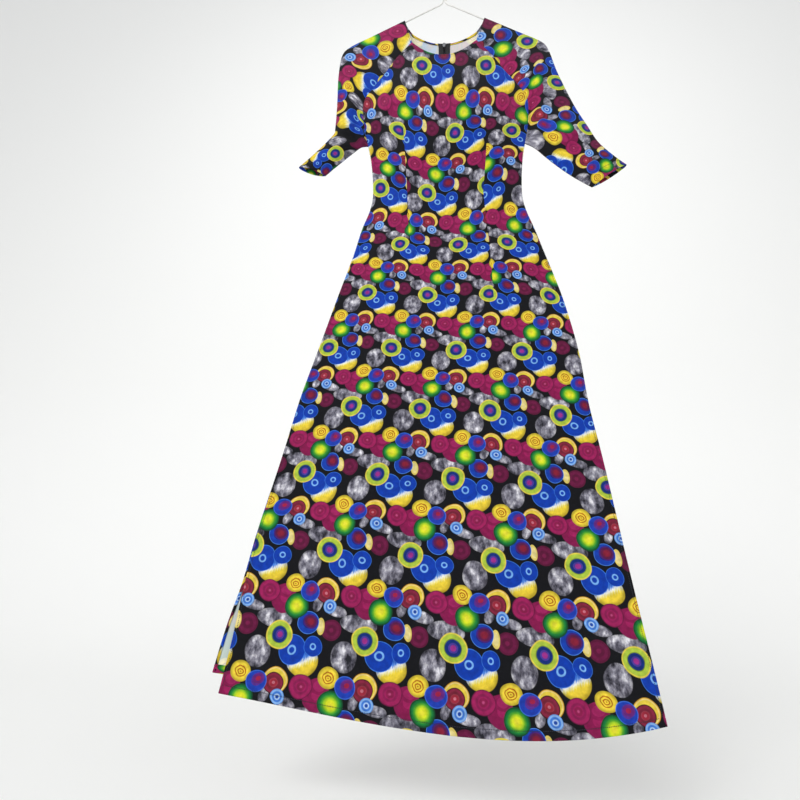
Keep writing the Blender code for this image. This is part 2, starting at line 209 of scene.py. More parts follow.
# %% Paint the print
def half_drop_cell(tree, place, centre):
    """Coordinates that start again at the middle of every cell of a half-drop repeat."""
    moved = add(tree, "VectorMath", {"operation": "SUBTRACT"}, {0: place, 1: (*centre, 0)}).outputs[0]
    parts = add(tree, "SeparateXYZ", {}, {0: moved}).outputs
    row = add(tree, "Math", {"operation": "ROUND"}, {0: parts["Y"]}).outputs[0]
    shifted = add(tree, "Math", {"operation": "MULTIPLY_ADD"}, {0: row, 1: -0.5, 2: parts["X"]}).outputs[0]
    across = add(tree, "Math", {"operation": "WRAP"}, {0: shifted, 1: 0.5, 2: -0.5}).outputs[0]
    down = add(tree, "Math", {"operation": "SUBTRACT"}, {0: parts["Y"], 1: row}).outputs[0]
    return add(tree, "CombineXYZ", {}, {"X": across, "Y": down}).outputs[0]


def place_in_cell(motif, centre):
    """Where a motif lies from a cell's centre, once it is moved by whole steps of the half drop."""
    rows = round(motif.y - centre[1])
    x = motif.x - centre[0] - rows / 2
    return x - round(x), motif.y - centre[1] - rows


def reach_in_cell(motif, centre):
    x, y = place_in_cell(motif, centre)
    return max(abs(x) + motif.width / 2, abs(y) + motif.height / 2)


def band_stops(bands, soft):
    """Ramp stops for bands that meet in short blends, cut off at the motif's edge."""
    stops = [(0.0, bands[0][1])]
    for (_, inner), (start, outer) in zip(bands, bands[1:]):
        stops += [(start - soft / 2, inner), (start + soft / 2, outer)]
    last = bands[-1][1]
    return stops + [(1 - EDGE_SOFTNESS, last), (1.0, linear(last, 0.0))]


def marble_paint(tree, place):
    """Grey watercolour with upright streaks."""
    stretched = add(tree, "Mapping", {}, {"Vector": place, "Scale": (11, 6.5, 1)}).outputs[0]
    fine = {"Vector": stretched, "Scale": 1, "Detail": 5, "Roughness": 0.6}
    streaks = add(tree, "TexNoise", {}, fine).outputs["Fac"]
    stops = [(0.34, "24242c"), (0.44, "615f6c"), (0.54, "9c9aa7"), (0.66, "f4f2f8")]
    return add(tree, "ValToRGB", {}, {"Fac": streaks}, stops).outputs[0]


def sun_paint(tree, placed):
    """Blue that breaks into white streaks and then yellow, downwards and to the right."""
    turned = {"Vector": placed, "Rotation": (0, 0, math.radians(28)), "Scale": (9, 1.5, 1)}
    stretched = add(tree, "Mapping", {}, turned).outputs[0]
    streaks = add(tree, "TexNoise", {}, {"Vector": stretched, "Scale": 1, "Detail": 3}).outputs["Fac"]
    slope = {0: placed, 1: (0.22, 0.45, 0)}
    fall = add(tree, "VectorMath", {"operation": "DOT_PRODUCT"}, slope).outputs["Value"]
    brushed = add(tree, "Math", {"operation": "MULTIPLY_ADD"}, {0: streaks, 1: 0.34, 2: fall}).outputs[0]
    stops = [(0, COBALT), (0.1, "5b93ea"), (0.18, "f4f6f2"), (0.25, "f7ec9a"), (0.33, YELLOW)]
    return add(tree, "ValToRGB", {}, {"Fac": brushed}, stops + [(0.9, "eec52c")]).outputs[0]


def rose_paint(tree, placed, distance):
    """Yellow, with loose orange rings like petals round its middle."""
    rings = add(
        tree, "TexWave", {"wave_type": "RINGS", "rings_direction": "SPHERICAL"},
        {"Vector": placed, "Scale": 1.25, "Distortion": 4.0, "Detail": 2, "Detail Scale": 1.4},
    )
    stops = [(0.1, "b05f10"), (0.34, "dc9420"), (0.6, YELLOW)]
    petals = add(tree, "ValToRGB", {}, {"Fac": rings.outputs["Fac"]}, stops).outputs[0]
    outside = add(tree, "ValToRGB", {}, {"Fac": distance}, [(0.5, "000000"), (0.68, "ffffff")]).outputs[0]
    return add(tree, "Mix", {"data_type": "RGBA"}, {0: outside, 6: petals, 7: linear(YELLOW)}).outputs[2]


def paint_print():
    """A node group: the cloth's place in the print goes in, and its colour comes out."""
    tree = bpy.data.node_groups.new("disc print", "ShaderNodeTree")
    tree.interface.new_socket("Place", in_out="INPUT", socket_type="NodeSocketVector")
    tree.interface.new_socket("Colour", in_out="OUTPUT", socket_type="NodeSocketColor")
    place = tree.nodes.new("NodeGroupInput").outputs[0]
    # A hand-drawn edge wanders a little.
    wander = add(tree, "TexNoise", {}, {"Vector": place, "Scale": 3.2, "Detail": 1}).outputs["Color"]
    centred = add(tree, "VectorMath", {"operation": "SUBTRACT"}, {0: wander, 1: (0.5, 0.5, 0.5)}).outputs[0]
    moved = {0: centred, 1: (WANDER, WANDER, 0), 2: place}
    drawn = add(tree, "VectorMath", {"operation": "MULTIPLY_ADD"}, moved).outputs[0]
    cells = {centre: half_drop_cell(tree, drawn, centre) for centre in CELL_CENTRES}
    marble = marble_paint(tree, place)
    multiplied = {"data_type": "RGBA", "blend_type": "MULTIPLY"}
    colour = linear(INK)
    for motif in MOTIFS:
        centre = min(CELL_CENTRES, key=lambda c: reach_in_cell(motif, c))
        shape = {
            "Vector": cells[centre], "Location": (*place_in_cell(motif, centre), 0),
            "Rotation": (0, 0, math.radians(motif.turn)), "Scale": (motif.width / 2, motif.height / 2, 1),
        }
        placed = add(tree, "Mapping", {"vector_type": "TEXTURE"}, shape).outputs[0]
        distance = add(tree, "VectorMath", {"operation": "LENGTH"}, {0: placed}).outputs["Value"]
        if isinstance(motif.paint, str):  # painted with a brush, and shaded towards its edge
            stops = band_stops([(0, "ffffff"), (0.8, "d0d0d0")], 0.2)
        else:
            stops = band_stops(motif.paint, motif.soft)
        ramp = add(tree, "ValToRGB", {}, {"Fac": distance}, stops)
        top = ramp.outputs[0]
        if isinstance(motif.paint, str):
            if motif.paint == "sun":
                paint = sun_paint(tree, placed)
            else:
                paint = marble if motif.paint == "marble" else rose_paint(tree, placed, distance)
            top = add(tree, "Mix", multiplied, {0: 1.0, 6: paint, 7: top}).outputs[2]
        laid_on = {0: ramp.outputs["Alpha"], 6: colour, 7: top}
        colour = add(tree, "Mix", {"data_type": "RGBA"}, laid_on).outputs[2]
    # The dye took unevenly.
    blotches = add(tree, "TexNoise", {}, {"Vector": place, "Scale": 17, "Detail": 3}).outputs["Fac"]
    uneven = add(tree, "ValToRGB", {}, {"Fac": blotches}, [(0.3, "d6d6d6"), (0.7, "ffffff")]).outputs[0]
    dyed = add(tree, "Mix", multiplied, {0: 1.0, 6: colour, 7: uneven}).outputs[2]
    tree.links.new(dyed, tree.nodes.new("NodeGroupOutput").inputs[0])
    return tree


disc_print = paint_print()
print("the print takes", len(disc_print.nodes), "nodes")

# %% [markdown]
# ## Cloth, wrong side, tape, thread, metal and coated wire
#
# Polyester crepe is a matt, slightly grainy cloth with a faint sheen on its folds. It is dyed from one side,
# so its wrong side is pale, with the print showing through faintly. Both sides read the same print: the
# right side as it is, and the wrong side washed out by the pale undyed yarn.

# %% Make the materials
CREPE_GRAIN = 0.0011  # metres: real crepe grain is about 0.4 mm, drawn coarser so that it shows at all
CREPE_DEPTH = 0.0002


def roughen(tree, shader, grain, detail, strength, depth):
    """Bumps the surface with noise of that grain and depth in metres, and gives the noise back."""
    where = add(tree, "TexCoord").outputs["Object"]
    height = add(tree, "TexNoise", {}, {"Vector": where, "Scale": 1 / grain, "Detail": detail}).outputs["Fac"]
    bump = add(tree, "Bump", {}, {"Height": height, "Strength": strength, "Distance": depth})
    tree.links.new(bump.outputs[0], shader.inputs["Normal"])
    return height


def crepe(name, undyed):
    """Crepe, printed all over; undyed is how much the pale yarn lightens the print."""
    material, tree, shader = new_material(name, Roughness=0.8, Specular_IOR_Level=0.18, Sheen_Weight=0.05)
    place = add(tree, "UVMap", {"uv_map": "print"}).outputs[0]
    shown = add(tree, "Group", {"node_tree": disc_print}, {0: place}).outputs[0]
    if undyed:
        vivid = add(tree, "HueSaturation", {}, {"Saturation": 1.6, "Value": 1.2, "Color": shown}).outputs[0]
        screened = {"data_type": "RGBA", "blend_type": "SCREEN"}
        shown = add(tree, "Mix", screened, {0: undyed, 6: vivid, 7: linear("c4d2cc")}).outputs[2]
    tree.links.new(shown, shader.inputs["Base Color"])
    roughen(tree, shader, CREPE_GRAIN, 2, 0.25, CREPE_DEPTH)
    return material


crepe_right_side = crepe("printed crepe right side", 0)
crepe_wrong_side = crepe("printed crepe wrong side", 1)
print("cloth:", crepe_right_side.name, "and", crepe_wrong_side.name)

# %% [markdown]
# The zip's tapes are woven polyester, its slider and pull are zinc under a grey lacquer, and the hanger is
# steel wire in a white plastic coat. Thread and tape are matt, the lacquer has a dull shine, and the coat is
# smooth enough for a soft highlight.

# %% More materials
def grained(name, colours, grain, strength, **values):
    """A material whose colour and surface vary a little over a grain of that size in metres."""
    material, tree, shader = new_material(name, **values)
    height = roughen(tree, shader, grain, 3, strength, grain / 8)
    ramp = add(tree, "ValToRGB", {}, {"Fac": height}, [(0.35, colours[0]), (0.65, colours[1])])
    tree.links.new(ramp.outputs[0], shader.inputs["Base Color"])
    return material


woven_tape = grained("black woven zip tape", ("0c0c0e", "1d1d21"), 0.0009, 0.5, Roughness=0.8)
nylon_coil = grained("black nylon coil", ("101013", "1a1a1e"), 0.002, 0.1, Roughness=0.42)
lacquered_zinc = grained(
    "grey lacquered zinc", ("75767a", "8e8f93"), 0.0025, 0.15, Roughness=0.34, Metallic=0.6
)
thread = grained("dark polyester thread", ("1a1c26", "2c2e3b"), 0.0006, 0.4, Roughness=0.75)
coated_wire = grained("white coated wire", ("e4e3de", "efeeea"), 0.02, 0.08, Roughness=0.3)
print("five more materials")

# %% [markdown]
# ## The cut of the tunic
#
# The cloth lies where the frame's plain solids lie, so it is worked out from the same sizes. A row of a
# table is one level of a panel: how far it hangs below the hanger's fork at its middle and at its sides, how
# wide it is, and how far its sides and middle stand in front of or behind the hanger. Between two rows a
# smooth curve fills in.

# %% Tables of the panels
FORK_BELOW_HOOK = 0.088  # the origin is the inside top of the hanger's hook
LIE = 0.00075  # depth of a panel that lies against its fellow along a seam
UNDERARM, SLIT_TOP = 6, 11  # rows of both tables

Row = namedtuple("Row", "centre_drop side_drop half_width sway side_depth centre_depth tilt")
FRONT_ROWS = [
    Row(0.164, 0.120, 0.067, 0.000, 0.008, 0.016, 0.0),  # neck edge
    Row(0.187, 0.163, 0.099, 0.001, 0.010, 0.020, 0.0),  # yoke
    Row(0.213, 0.203, 0.122, 0.002, 0.011, 0.025, 0.0),
    Row(0.242, 0.237, 0.145, 0.003, 0.011, 0.029, 0.0),  # chest
    Row(0.273, 0.272, 0.164, 0.004, 0.009, 0.032, 0.0),
    Row(0.324, 0.324, 0.163, 0.006, 0.005, 0.034, 0.0),
    Row(0.372, 0.372, 0.1545, 0.008, LIE, 0.032, 0.0),  # underarm
    Row(0.425, 0.425, 0.146, 0.010, LIE, 0.023, 0.0),
    Row(0.485, 0.485, 0.143, 0.012, LIE, 0.014, 0.0),  # waist
    Row(0.520, 0.520, 0.1485, 0.013, LIE, 0.013, 0.0),
    Row(0.563, 0.563, 0.163, 0.014, LIE, 0.014, 0.0),
    Row(0.626, 0.626, 0.181, 0.017, LIE, 0.015, 0.0),  # top of the slits
    Row(0.708, 0.708, 0.205, 0.0185, 0.002, 0.014, 0.0),
    Row(0.805, 0.805, 0.229, 0.0165, 0.003, 0.013, 0.0),
    Row(0.898, 0.898, 0.248, 0.010, 0.003, 0.012, 0.002),
    Row(0.986, 0.986, 0.266, 0.009, 0.003, 0.011, 0.004),
    Row(1.070, 1.070, 0.283, 0.007, 0.003, 0.010, 0.006),
    Row(1.155, 1.150, 0.29875, 0.00525, 0.003, 0.010, 0.009),
    Row(1.240, 1.227, 0.31125, 0.00675, 0.003, 0.009, 0.012),
    Row(1.330, 1.305, 0.3235, 0.0095, 0.003, 0.009, 0.015),
    Row(1.416, 1.384, 0.337, 0.010, 0.003, 0.008, 0.016),  # hem
]
BACK_ROWS = [
    Row(0.097, 0.082, 0.068, 0.000, 0.008, 0.022, 0.0),  # neck edge
    Row(0.126, 0.120, 0.083, 0.001, 0.010, 0.023, 0.0),
    Row(0.165, 0.162, 0.104, 0.002, 0.011, 0.024, 0.0),
    Row(0.210, 0.208, 0.131, 0.003, 0.011, 0.024, 0.0),
    Row(0.264, 0.264, 0.161, 0.004, 0.009, 0.024, 0.0),
    Row(0.324, 0.324, 0.163, 0.006, 0.005, 0.023, 0.0),
    Row(0.372, 0.372, 0.1545, 0.008, LIE, 0.021, 0.0),  # underarm
    Row(0.425, 0.425, 0.146, 0.010, LIE, 0.015, 0.0),
    Row(0.485, 0.485, 0.143, 0.012, LIE, 0.010, 0.0),  # waist
    Row(0.520, 0.520, 0.1485, 0.013, LIE, 0.010, 0.0),
    Row(0.563, 0.563, 0.163, 0.014, LIE, 0.011, 0.0),
    Row(0.626, 0.626, 0.181, 0.017, LIE, 0.012, 0.0),  # top of the slits
    Row(0.708, 0.708, 0.206, 0.0185, 0.002, 0.011, 0.0),
    Row(0.805, 0.805, 0.230, 0.0165, 0.003, 0.010, 0.0),
    Row(0.898, 0.898, 0.249, 0.010, 0.003, 0.009, 0.002),
    Row(0.986, 0.986, 0.267, 0.009, 0.003, 0.008, 0.004),
    Row(1.068, 1.068, 0.284, 0.006, 0.003, 0.007, 0.006),
    Row(1.148, 1.144, 0.29975, 0.00425, 0.003, 0.007, 0.009),
    Row(1.226, 1.215, 0.3135, 0.004, 0.003, 0.007, 0.012),
    Row(1.306, 1.284, 0.3285, 0.001, 0.003, 0.006, 0.015),
    Row(1.386, 1.354, 0.340, -0.002, 0.003, 0.006, 0.016),  # hem
]


def between(a, b, c, d, t):
    """The smooth curve through b and c, at t from 0 to 1, that a and d lead into."""
    return 0.5 * (2 * b + (c - a) * t + (2 * a - 5 * b + 4 * c - d) * t**2 + (3 * b - a - 3 * c + d) * t**3)


def row_at(rows, position):
    """The row at a position in the table: 3.5 is half-way between row 3 and row 4."""
    index = max(0, min(int(position), len(rows) - 2))
    four = [rows[min(max(index + k, 0), len(rows) - 1)] for k in (-1, 0, 1, 2)]
    return type(rows[0])(*(between(*numbers, position - index) for numbers in zip(*four)))


def position_at(levels, value):
    """Where a value falls in a rising list, as a position in it."""
    for index in range(len(levels) - 2):
        if value < levels[index + 1]:
            break
    return index + (value - levels[index]) / (levels[index + 1] - levels[index])


def smooth_step(value):
    value = max(0.0, min(1.0, value))
    return value * value * (3 - 2 * value)


def hill(distance, width):
    """1 at no distance, and fading to nothing over about twice the width."""
    return math.exp(-((distance / width) ** 2))


middle_length = FRONT_ROWS[-1].centre_drop - FRONT_ROWS[0].centre_drop
print("the front is", round(middle_length, 3), "m long at its middle")

# %% [markdown]
# ## Creases and darts
#
# A tunic this light hangs almost flat, but not quite. Drag lines run from the armpits towards the neck, soft
# folds fall from the waist, and the hem waves a little. Each crease is one line on the cloth, with a width
# and a height, fading out at its ends. They are listed one by one, as uneven as real ones.
#
# Two darts shape the waist in front, and two behind. A dart is a pinch of cloth sewn into a fold on the
# inside. From outside it is a thin groove, and the print jumps across it by the cloth that the pinch took up.

# %% Tables of the creases and darts
Crease = namedtuple("Crease", "x drop end_x end_drop width height")
FRONT_CREASES = [
    Crease(-0.155, 0.345, -0.075, 0.255, 0.011, 0.0042),  # from the wearer's right armpit up to the chest
    Crease(-0.160, 0.300, -0.100, 0.215, 0.009, -0.0030),
    Crease(-0.148, 0.395, -0.070, 0.352, 0.010, 0.0036),  # where a bust dart would pull
    Crease(-0.140, 0.415, -0.085, 0.392, 0.008, -0.0022),
    Crease(0.170, 0.350, 0.095, 0.262, 0.011, 0.0045),  # from the wearer's left armpit
    Crease(0.168, 0.300, 0.120, 0.222, 0.009, -0.0032),
    Crease(0.158, 0.385, 0.110, 0.330, 0.008, -0.0028),
    Crease(0.150, 0.420, 0.070, 0.400, 0.009, 0.0022),
    Crease(-0.060, 0.170, -0.030, 0.290, 0.016, 0.0018),  # the chest, below the neck
    Crease(0.058, 0.172, 0.040, 0.270, 0.014, 0.0016),
    Crease(-0.035, 0.470, -0.050, 0.700, 0.016, 0.0022),  # from the waist down
    Crease(0.035, 0.480, 0.050, 0.760, 0.018, 0.0020),
    Crease(-0.100, 0.500, -0.150, 0.800, 0.014, 0.0024),
    Crease(0.135, 0.520, 0.180, 0.850, 0.015, 0.0022),
    Crease(-0.085, 0.640, -0.140, 1.420, 0.034, 0.0048),  # long folds in the skirt
    Crease(-0.010, 0.720, -0.030, 1.430, 0.030, -0.0036),
    Crease(0.080, 0.680, 0.115, 1.430, 0.032, 0.0044),
    Crease(0.175, 0.780, 0.245, 1.420, 0.026, -0.0032),
    Crease(-0.200, 0.900, -0.255, 1.400, 0.024, -0.0034),
    Crease(0.020, 1.050, 0.040, 1.460, 0.022, 0.0026),
    Crease(-0.290, 1.180, -0.310, 1.400, 0.018, 0.0022),
    Crease(0.290, 1.150, 0.315, 1.400, 0.018, 0.0026),
]
BACK_CREASES = [
    Crease(-0.155, 0.340, -0.070, 0.240, 0.011, 0.0038),
    Crease(-0.150, 0.390, -0.080, 0.350, 0.010, -0.0026),
    Crease(0.168, 0.345, 0.085, 0.235, 0.012, 0.0040),
    Crease(0.155, 0.400, 0.090, 0.345, 0.009, -0.0030),
    Crease(-0.045, 0.110, -0.075, 0.230, 0.014, 0.0016),
    Crease(0.048, 0.112, 0.070, 0.210, 0.013, 0.0018),
    Crease(-0.060, 0.560, -0.110, 1.380, 0.034, 0.0040),
    Crease(0.065, 0.600, 0.120, 1.390, 0.032, 0.0044),
    Crease(0.190, 0.760, 0.250, 1.380, 0.026, -0.0030),
    Crease(-0.180, 0.820, -0.235, 1.370, 0.026, -0.0032),
    Crease(-0.285, 1.120, -0.315, 1.380, 0.018, 0.0024),
    Crease(0.280, 1.160, 0.305, 1.380, 0.018, 0.0022),
]

Dart = namedtuple("Dart", "side line taken")  # line: (x, drop) from its top down; taken: the pinch, at most
FRONT_DARTS = [
    Dart(-1, [(-0.076, 0.340), (-0.066, 0.455), (-0.062, 0.512), (-0.058, 0.566), (-0.051, 0.610)], 0.022),
    Dart(1, [(0.089, 0.335), (0.085, 0.424), (0.081, 0.485), (0.094, 0.624), (0.103, 0.715)], 0.026),
]
BACK_DARTS = [
    Dart(-1, [(-0.070, 0.345), (-0.062, 0.430), (-0.060, 0.500), (-0.058, 0.560), (-0.056, 0.620)], 0.020),
    Dart(1, [(0.086, 0.345), (0.084, 0.430), (0.083, 0.500), (0.086, 0.560), (0.090, 0.620)], 0.020),
]
DART_GROOVE, DART_WIDTH = 0.0022, 0.0032


def crease_height(creases, x, drop):
    """How far the creases lift the cloth there, or sink it where it is below zero."""
    height = 0.0
    for crease in creases:
        run_x, run_drop = crease.end_x - crease.x, crease.end_drop - crease.drop
        length = math.hypot(run_x, run_drop)
        along = ((x - crease.x) * run_x + (drop - crease.drop) * run_drop) / length**2
        aside = ((x - crease.x) * run_drop - (drop - crease.drop) * run_x) / length
        if 0 < along < 1 and abs(aside) < 3 * crease.width:
            height += crease.height * hill(aside, crease.width) * math.sin(math.pi * along)
    return height


def dart_at(dart, drop):
    """The dart's x at that drop, and how much of its pinch it takes there, from 0 to 1."""
    drops = [point[1] for point in dart.line]
    held = max(drops[0], min(drops[-1], drop))
    position = position_at(drops, held)
    index = min(int(position), len(drops) - 2)
    x, next_x = dart.line[index][0], dart.line[index + 1][0]
    along = (held - drops[0]) / (drops[-1] - drops[0])
    return x + (next_x - x) * (position - index), math.sin(math.pi * along) if drop == held else 0.0


print(len(FRONT_CREASES) + len(BACK_CREASES), "creases and", len(FRONT_DARTS) + len(BACK_DARTS), "darts")

# %% [markdown]
# ## Where the print lies on the cloth
#
# The print's repeat is about 13 cm wide under the neck, 11 cm at the hips and 14 cm at the hem. Its rows lean
# a little towards the wearer's left in the skirt, and between the darts they sag. A short table gives, for
# each row of the print, its drop, how wide a repeat is there, where its middle column runs, and how the row
# leans and sags. The cloth reads it between the lines.

# %% Table of the print's rows
PrintRow = namedtuple("PrintRow", "drop repeat middle lean sag")
PRINT_ROWS = [
    PrintRow(0.134, 0.134, -0.025, 0.010, 0.004),  # a row that starts above the neck
    PrintRow(0.314, 0.115, -0.015, 0.032, 0.013),
    PrintRow(0.424, 0.114, -0.009, -0.030, 0.030),
    PrintRow(0.560, 0.112, -0.004, 0.000, 0.017),
    PrintRow(0.664, 0.110, -0.001, 0.010, 0.007),
    PrintRow(0.772, 0.113, -0.004, 0.015, 0.004),
    PrintRow(0.880, 0.117, -0.007, 0.022, 0.000),
    PrintRow(0.995, 0.123, -0.010, 0.025, 0.000),
    PrintRow(1.118, 0.130, -0.014, 0.028, 0.000),
    PrintRow(1.250, 0.135, -0.012, 0.028, 0.000),
    PrintRow(1.388, 0.140, -0.010, 0.028, 0.000),
    PrintRow(1.528, 0.143, -0.009, 0.028, 0.000),
]
WAIST_REPEAT = 0.112  # the print's repeat at the waist, for cloth taken up by darts and turned edges
SAG_REACH = 0.13  # the darts draw the rows up on both sides of the middle, this far out


def print_place(x, drop):
    """The place in the print, (across, down) in repeats, of a spot on a panel."""
    drops = [row.drop for row in PRINT_ROWS]
    here = row_at(PRINT_ROWS, position_at(drops, drop))
    sunk = here.lean * x + here.sag * (1 - smooth_step(abs(x) / SAG_REACH))
    position = position_at(drops, drop - sunk)
    row = row_at(PRINT_ROWS, position)
    return (x - row.middle) / row.repeat + 0.5, position - 1  # a repeat starts half a repeat from its middle


repeats = [row.repeat for row in PRINT_ROWS]
print("the repeat is", min(repeats), "to", max(repeats), "m wide")

# %% [markdown]
# ## From a table to cloth
#
# Every sheet of cloth here starts as Blender's own grid. A grid's corners are numbered by where they lie, so
# each one can be moved to its place on the body: the grid's x picks a column, and its y a level. Levels and
# columns lie closer together at seams, folded edges and stitch lines, where the cloth bends sharply.
#
# A folded edge is part of the same sheet. Past the edge the levels run back up inside the cloth, a little
# deeper, as a real hem does. The corners also carry their place in the print as a UV map, and a face
# outside a dart is moved on by the cloth that the dart took up. A Solidify modifier gives the sheet its wall,
# with the right side's material outside and the wrong side's within.

# %% A sheet of cloth
WALL = 0.0007  # of the crepe
TURN_GAP = 0.0011  # from a panel's middle to the middle of its turned edge
TURN_OVER = 0.002  # the cloth rounds the fold within this length
SEAM_DIP, SEAM_WIDTH = 0.0008, 0.0028  # a pressed seam sinks this far, over this width
NECK_TURN, HEM_TURN, HEM_STITCH = 0.0065, 0.020, 0.018
EDGE_STEPS = [0.0005, 0.0014, 0.0030, 0.0060]  # metres from a folded edge
LEVEL_STEP = 0.0046

Spot = namedtuple("Spot", "point print_x print_y pinch", defaults=(0.0,))


def cloth_sheet(
    name, columns, levels, place, facing=None, darts=(), wall=WALL,
    materials=(crepe_right_side, crepe_wrong_side), slot="printed_crepe",
):
    """A grid with these columns and levels, each corner where place(column, level) puts it, with its right
    side facing that way and a wall. A face past a dart, (column, side), moves on along the print."""
    shape = bmesh.new()
    bmesh.ops.create_grid(shape, x_segments=len(columns) - 1, y_segments=len(levels) - 1, size=0.5)
    spots = {}
    for vert in shape.verts:
        column = round((vert.co.x + 0.5) * (len(columns) - 1))
        level = round((0.5 - vert.co.y) * (len(levels) - 1))
        spots[vert] = (columns[column], place(columns[column], levels[level]))
    layer = shape.loops.layers.uv.new("print")
    for face in shape.faces:
        middle = sum(spots[vert][0] for vert in face.verts) / 4
        past = sum(side for column, side in darts if (middle - column) * side > 0)
        for loop in face.loops:
            spot = spots[loop.vert][1]
            loop[layer].uv = (spot.print_x + past * spot.pinch, spot.print_y)
    for vert, (_, spot) in spots.items():
        vert.co = spot.point
    shape.normal_update()
    if facing and sum((face.normal * face.calc_area() for face in shape.faces), Vector()).dot(facing) < 0:
        bmesh.ops.reverse_faces(shape, faces=shape.faces)
    sheet = finished(name, shape, materials, "tunic", slot)
    solid = sheet.modifiers.new("wall", "SOLIDIFY")
    solid.thickness = wall
    solid.offset = 0
    solid.material_offset = len(materials) - 1
    return sheet


def finished(name, shape, materials, body="tunic", slot=None):
    """Makes the bmesh an object in the scene."""
    mesh = bpy.data.meshes.new(name)
    shape.to_mesh(mesh)
    shape.free()
    mesh.shade_smooth()
    return placed(name, mesh, materials, body, slot)


def placed(name, data, materials, body="tunic", slot=None):
    """Puts a mesh or a curve into the scene, where it rides on one of the frame's bodies."""
    for material in materials:
        data.materials.append(material)
    piece = in_scene(name, data)
    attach(piece, body)
    return piece


def edge_levels(length):
    """Levels from inside the turned neck edge, down the cloth, to inside the turned hem. They lie closer
    together at both edges and round the line of stitches above the hem."""
    near_top = [0.0, *EDGE_STEPS]
    near_bottom = [length - HEM_STITCH - step for step in (0.003, 0.001, 0.0, -0.001, -0.003)]
    near_bottom += [length - step for step in (*reversed(EDGE_STEPS), 0.0)]
    start, end = near_top[-1], near_bottom[0]
    count = round((end - start) / LEVEL_STEP)
    even = [start + (end - start) * k / count for k in range(1, count)]
    above = [-NECK_TURN] + [-step for step in reversed(EDGE_STEPS)]
    below = [length + step for step in EDGE_STEPS] + [length + HEM_TURN * share for share in (0.5, 0.8, 1.0)]
    return above + near_top + even + near_bottom + below


def back_inside(level, length):
    """A level past an edge lies back inside the cloth: (level on the cloth, how far inside)."""
    past = max(-level, level - length, 0.0)
    folded = -level if level < 0 else 2 * length - level if level > length else level
    return folded, TURN_GAP * smooth_step(past / TURN_OVER)


print("a wall of", WALL * 1000, "mm, and corners every", LEVEL_STEP * 1000, "mm")

# %% [markdown]
# ## The front and the two back halves
#
# Three sheets hang between the sleeves. A panel's columns follow its darts, so that the groove and the jump
# in the print are sharp lines. Along the raglan and side seams the edge sinks, and further down, where the
# slits are open, it does not. The back is cut in two for the zip, and its halves lean apart a little
# at the neck, where the slider stands between them.

# %% Panels
DART_COLUMN = 0.42
ZIP_MOUTH, MOUTH_LENGTH = 0.0018, 0.007  # half the gap at the top of the zip, and how soon it closes
SEAM_CLEARANCE = 0.00015
SEAM_HOLD = 0.02  # creases fade out this near to a sewn seam
STITCH_DENT, DENT_WIDTH = 0.0004, 0.0012
SLIT_START = 0.004  # the slit's turned edges start this far below the top of the slit


class Panel:
    """A panel's surface: side is -1 in front and 1 behind."""

    def __init__(self, rows, side, creases, darts, print_shift=0.0):
        self.rows, self.side, self.creases, self.darts = rows, side, creases, darts
        self.print_shift = print_shift
        self.drops = [row.centre_drop for row in rows]
        self.length = self.drops[-1] - self.drops[0]
        self.slit_start = self.drops[SLIT_TOP] - self.drops[0] + SLIT_START
        self.known = {}

    def level(self, level):
        """(row position, row, dart shares) at a level, kept once it is worked out."""
        if level not in self.known:
            position = position_at(self.drops, self.drops[0] + level)
            row = row_at(self.rows, position)
            shares = {}
            for dart in self.darts:
                x, _ = dart_at(dart, row.side_drop)
                held = max(dart.line[0][1], min(dart.line[-1][1], row.side_drop))
                there = row_at(self.rows, position_at(self.drops, held))
                shares[dart.side] = (x - there.sway) / there.half_width
            self.known[level] = (position, row, shares)
        return self.known[level]

    def across(self, column, level):
        """How far across, -1 to 1, a column runs at a level: the dart's columns follow the dart."""
        shares = self.level(level)[2]
        side = 1 if column > 0 else -1
        dart_share = shares.get(side, side * DART_COLUMN)
        reach = abs(column)
        if reach <= DART_COLUMN:
            return reach / DART_COLUMN * dart_share
        return dart_share + (reach - DART_COLUMN) / (1 - DART_COLUMN) * (side - dart_share)

    def spot(self, column, level, lift=0.0):
        """The cloth at a column and level; lift moves it outwards."""
        position, row, _ = self.level(level)
        return self.spot_across(self.across(column, level), row, position, lift)

    def spot_across(self, across, row, position, lift=0.0):
        """The same, for a share of the width: -1 and 1 are the panel's edges."""
        crown = 1 - across**2
        drop = row.side_drop + (row.centre_drop - row.side_drop) * crown
        drop += row.tilt * across * (1.3 - across**2)
        x = row.sway + across * row.half_width
        print_x, print_y = print_place(x, drop)
        out = row.side_depth + (row.centre_depth - row.side_depth) * crown + lift
        from_seam = (1 - abs(across)) * row.half_width
        sewn = 1 - smooth_step(position - SLIT_TOP)
        free = 1 - sewn * hill(from_seam, SEAM_HOLD)
        out += crease_height(self.creases, x, drop) * free - SEAM_DIP * sewn * hill(from_seam, SEAM_WIDTH)
        pinch = 0.0
        for dart in self.darts:
            dart_x, held = dart_at(dart, row.side_drop)
            if (x > row.sway) == (dart.side > 0):
                pinch = dart.taken * held / WAIST_REPEAT
                out -= DART_GROOVE * math.sqrt(held) * math.exp(-abs(x - dart_x) / DART_WIDTH)
        if position < UNDERARM:
            x -= math.copysign(SEAM_CLEARANCE, across) * abs(across) ** 8
        point = Vector((x, self.side * out, -FORK_BELOW_HOOK - drop))
        return Spot(point, print_x + self.print_shift, print_y, pinch)


front = Panel(FRONT_ROWS, -1, FRONT_CREASES, FRONT_DARTS)
print_shifts = {1: 0.31, -1: 0.19}  # the back halves were cut from other places of the cloth
backs = {way: Panel(BACK_ROWS, 1, BACK_CREASES, [BACK_DARTS[way > 0]], print_shifts[way]) for way in (1, -1)}


